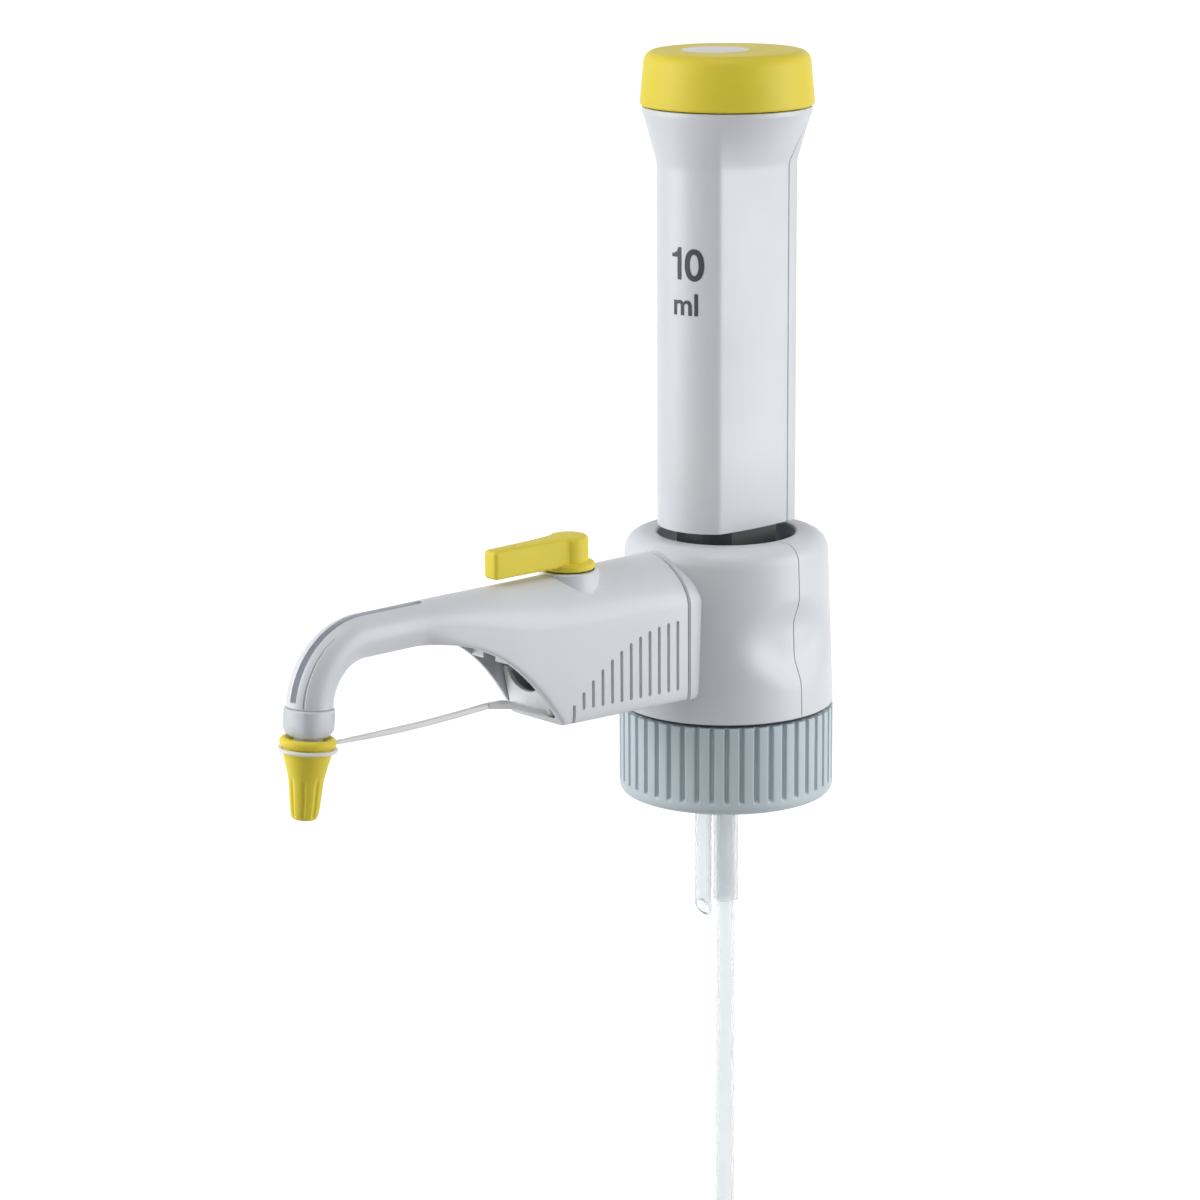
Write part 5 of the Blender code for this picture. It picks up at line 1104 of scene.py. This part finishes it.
def make_discharge_tube():
    """The tube from the purge valve up into the spout, round its bend and down to the nozzle's end."""
    low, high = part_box("discharge_tube")
    line = []
    steps = 12
    for i in range(steps + 1):
        level = TUBE_LEVEL + (SPOUT_LEVEL - TUBE_LEVEL) * ease(0, 1, i / steps)
        line.append((Vector((0, high.y - TUBE_CLIMB * i / steps, level)), OUTWARD))
    line += spout_line(0)
    tip = (NOZZLE_POINT.z - low.z) / NOZZLE_UP.z - MM / 5
    line.append((NOZZLE_POINT - NOZZLE_UP * tip, -NOZZLE_UP))
    rings = [spout_ring(spot, heading, TUBE_RADIUS, 32) for spot, heading in line]
    rings += [spout_ring(spot, heading, TUBE_RADIUS - TUBE_WALL, 32) for spot, heading in line[::-1]]
    place(skin("looks_discharge_tube", rings, TUBE_FEP, looped=True), "valve_block", "fluoropolymer",
          "discharge_tube")


def make_tubes():
    """Filling tube in two lengths, as thin clear walls."""
    for name, (body, wall) in TUBES.items():
        low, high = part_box(name)
        radius = high.x
        item = lathe("looks_" + name, [
            (radius - TUBE_EDGE, high.z), (radius, high.z - TUBE_EDGE), (radius, low.z + TUBE_EDGE),
            (radius - TUBE_EDGE, low.z), (radius - wall, low.z), (radius - wall, high.z)], TUBE_FEP, steps=72)
        place(item, body, "fluoropolymer", name)


# CAD nodes that keep their own shape

def paint_nodes():
    """Give every remaining CAD node its finish."""
    finishes = (
        (MILKY_PFA, "neck_seal base_flange valve_block_core filling_valve_body outlet_valve_body "
                    "purge_valve_body valve_stem piston piston_seal guide_pad_front guide_pad_rear"),
        (SEAL_RUBBER, "filling_valve_washer cylinder_seal stem_seal"),
        (CERAMIC, "filling_valve_ball outlet_valve_ball"),
        (GUIDE_PPS, "cylinder_lid cylinder_guide"),
        (STEEL, "piston_rod calibration_nut outlet_spring"),
        (HOUSING_ABS, "vent_cap rod_holder volume_stop"),
        (TUBE_FEP, "recirculation_tube"),
        (GLASS, "glass_cylinder"),
    )
    for material, names in finishes:
        for name in names.split():
            item = nodes[name]
            item.data.materials.clear()
            item.data.materials.append(material)
            resmooth(item)


# Stage

def add_camera():
    """Camera at the photograph's viewpoint."""
    data = bpy.data.cameras.new("photo_camera")
    data.sensor_width = SENSOR
    data.lens = FOCAL_PIXELS * SENSOR / PHOTO_PIXELS
    data.clip_start = 0.05
    data.clip_end = 50
    camera = link("photo_camera", data)
    look = CAMERA_AZIMUTH + CAMERA_YAW
    forward = Vector((-sin(look) * cos(CAMERA_PITCH), cos(look) * cos(CAMERA_PITCH),
                      -sin(CAMERA_PITCH)))
    level = forward.cross(Vector((0, 0, 1))).normalized()
    right = cos(CAMERA_ROLL) * level + sin(CAMERA_ROLL) * level.cross(forward)
    matrix = Matrix((right, right.cross(forward), -forward)).transposed().to_4x4()
    matrix.translation = Vector((CAMERA_DISTANCE * sin(CAMERA_AZIMUTH),
                                 -CAMERA_DISTANCE * cos(CAMERA_AZIMUTH), CAMERA_HEIGHT))
    camera.matrix_world = matrix
    bpy.context.scene.camera = camera
    bpy.context.scene.view_settings.view_transform = 'Standard'


def softbox(name, turn, elevation, distance, power):
    """A large soft lamp, turned from the camera's side round the object and aimed at its middle."""
    lamp = bpy.data.lights.new(name, 'AREA')
    lamp.shape = 'RECTANGLE'
    lamp.size = LAMP_SIZE
    lamp.size_y = LAMP_SIZE
    lamp.energy = power
    item = link(name, lamp)
    azimuth = CAMERA_AZIMUTH + radians(turn)
    rise = radians(elevation)
    toward = Vector((sin(azimuth) * cos(rise), -cos(azimuth) * cos(rise), sin(rise)))
    item.location = LAMP_TARGET + distance * toward
    item.rotation_euler = (LAMP_TARGET - item.location).to_track_quat('-Z', 'Y').to_euler()


def seen_plainly(tree):
    """A factor that is 1 for what the camera sees, straight, in a mirror or through glass."""
    path = add(tree, "LightPath")
    mirror = add(tree, "Math", {0: path["Is Glossy Ray"], 1: path["Is Transmission Ray"]},
                 operation='MAXIMUM')
    return add(tree, "Math", {0: path["Is Camera Ray"], 1: mirror[0]},
               operation='MAXIMUM')[0]


def make_floor():
    """Pale floor: it keeps the object's soft shadow near by and runs out into white."""
    material, tree, shader, spot = new_material("matt_studio_floor")
    wire(tree, shader, {"Base Color": linear("C4C4C4"), "Roughness": 0.9})
    away = add(tree, "VectorMath", {0: spot}, operation='LENGTH')
    lift = add(tree, "MapRange", {
        "Value": away["Value"], "From Min": FLOOR_SHADOW_NEAR, "From Max": FLOOR_SHADOW_FAR,
        "To Min": FLOOR_LIFT, "To Max": 1.0}, interpolation_type='SMOOTHSTEP')
    strength = add(tree, "Math", {0: seen_plainly(tree), 1: lift["Result"]},
                   operation='MULTIPLY')
    white = add(tree, "Emission", {"Color": (1, 1, 1, 1), "Strength": strength[0]})
    both = add(tree, "AddShader", {0: shader.outputs[0], 1: white[0]})
    wire(tree, tree.nodes["Material Output"], {"Surface": both[0]})
    bm = bmesh.new()
    bmesh.ops.create_grid(bm, x_segments=1, y_segments=1, size=FLOOR_HALF)
    floor = into_scene("studio_floor", bm, material)
    floor.location = (0, 0, FLOOR_LEVEL)


def make_room():
    """White surroundings to the eye, and a dimmer light from all round."""
    world = bpy.data.worlds.new("studio")
    bpy.context.scene.world = world
    world.use_nodes = True
    tree = world.node_tree
    tree.nodes.clear()
    room = add(tree, "Background", {"Color": linear("F4F6F8"), "Strength": ROOM_LIGHT})
    white = add(tree, "Background", {"Color": (1, 1, 1, 1), "Strength": 1.0})
    mix = add(tree, "MixShader", {0: seen_plainly(tree), 1: room[0], 2: white[0]})
    add(tree, "OutputWorld", {"Surface": mix[0]})


add_camera()
make_sleeve()
make_top_cap()
make_print()
make_housing()
make_arm()
make_lever()
make_nozzle()
make_anchor()
make_collar()
make_tubes()
make_discharge_tube()
paint_nodes()
make_floor()
make_room()
for name, values in LAMPS.items():
    softbox(name, *values)
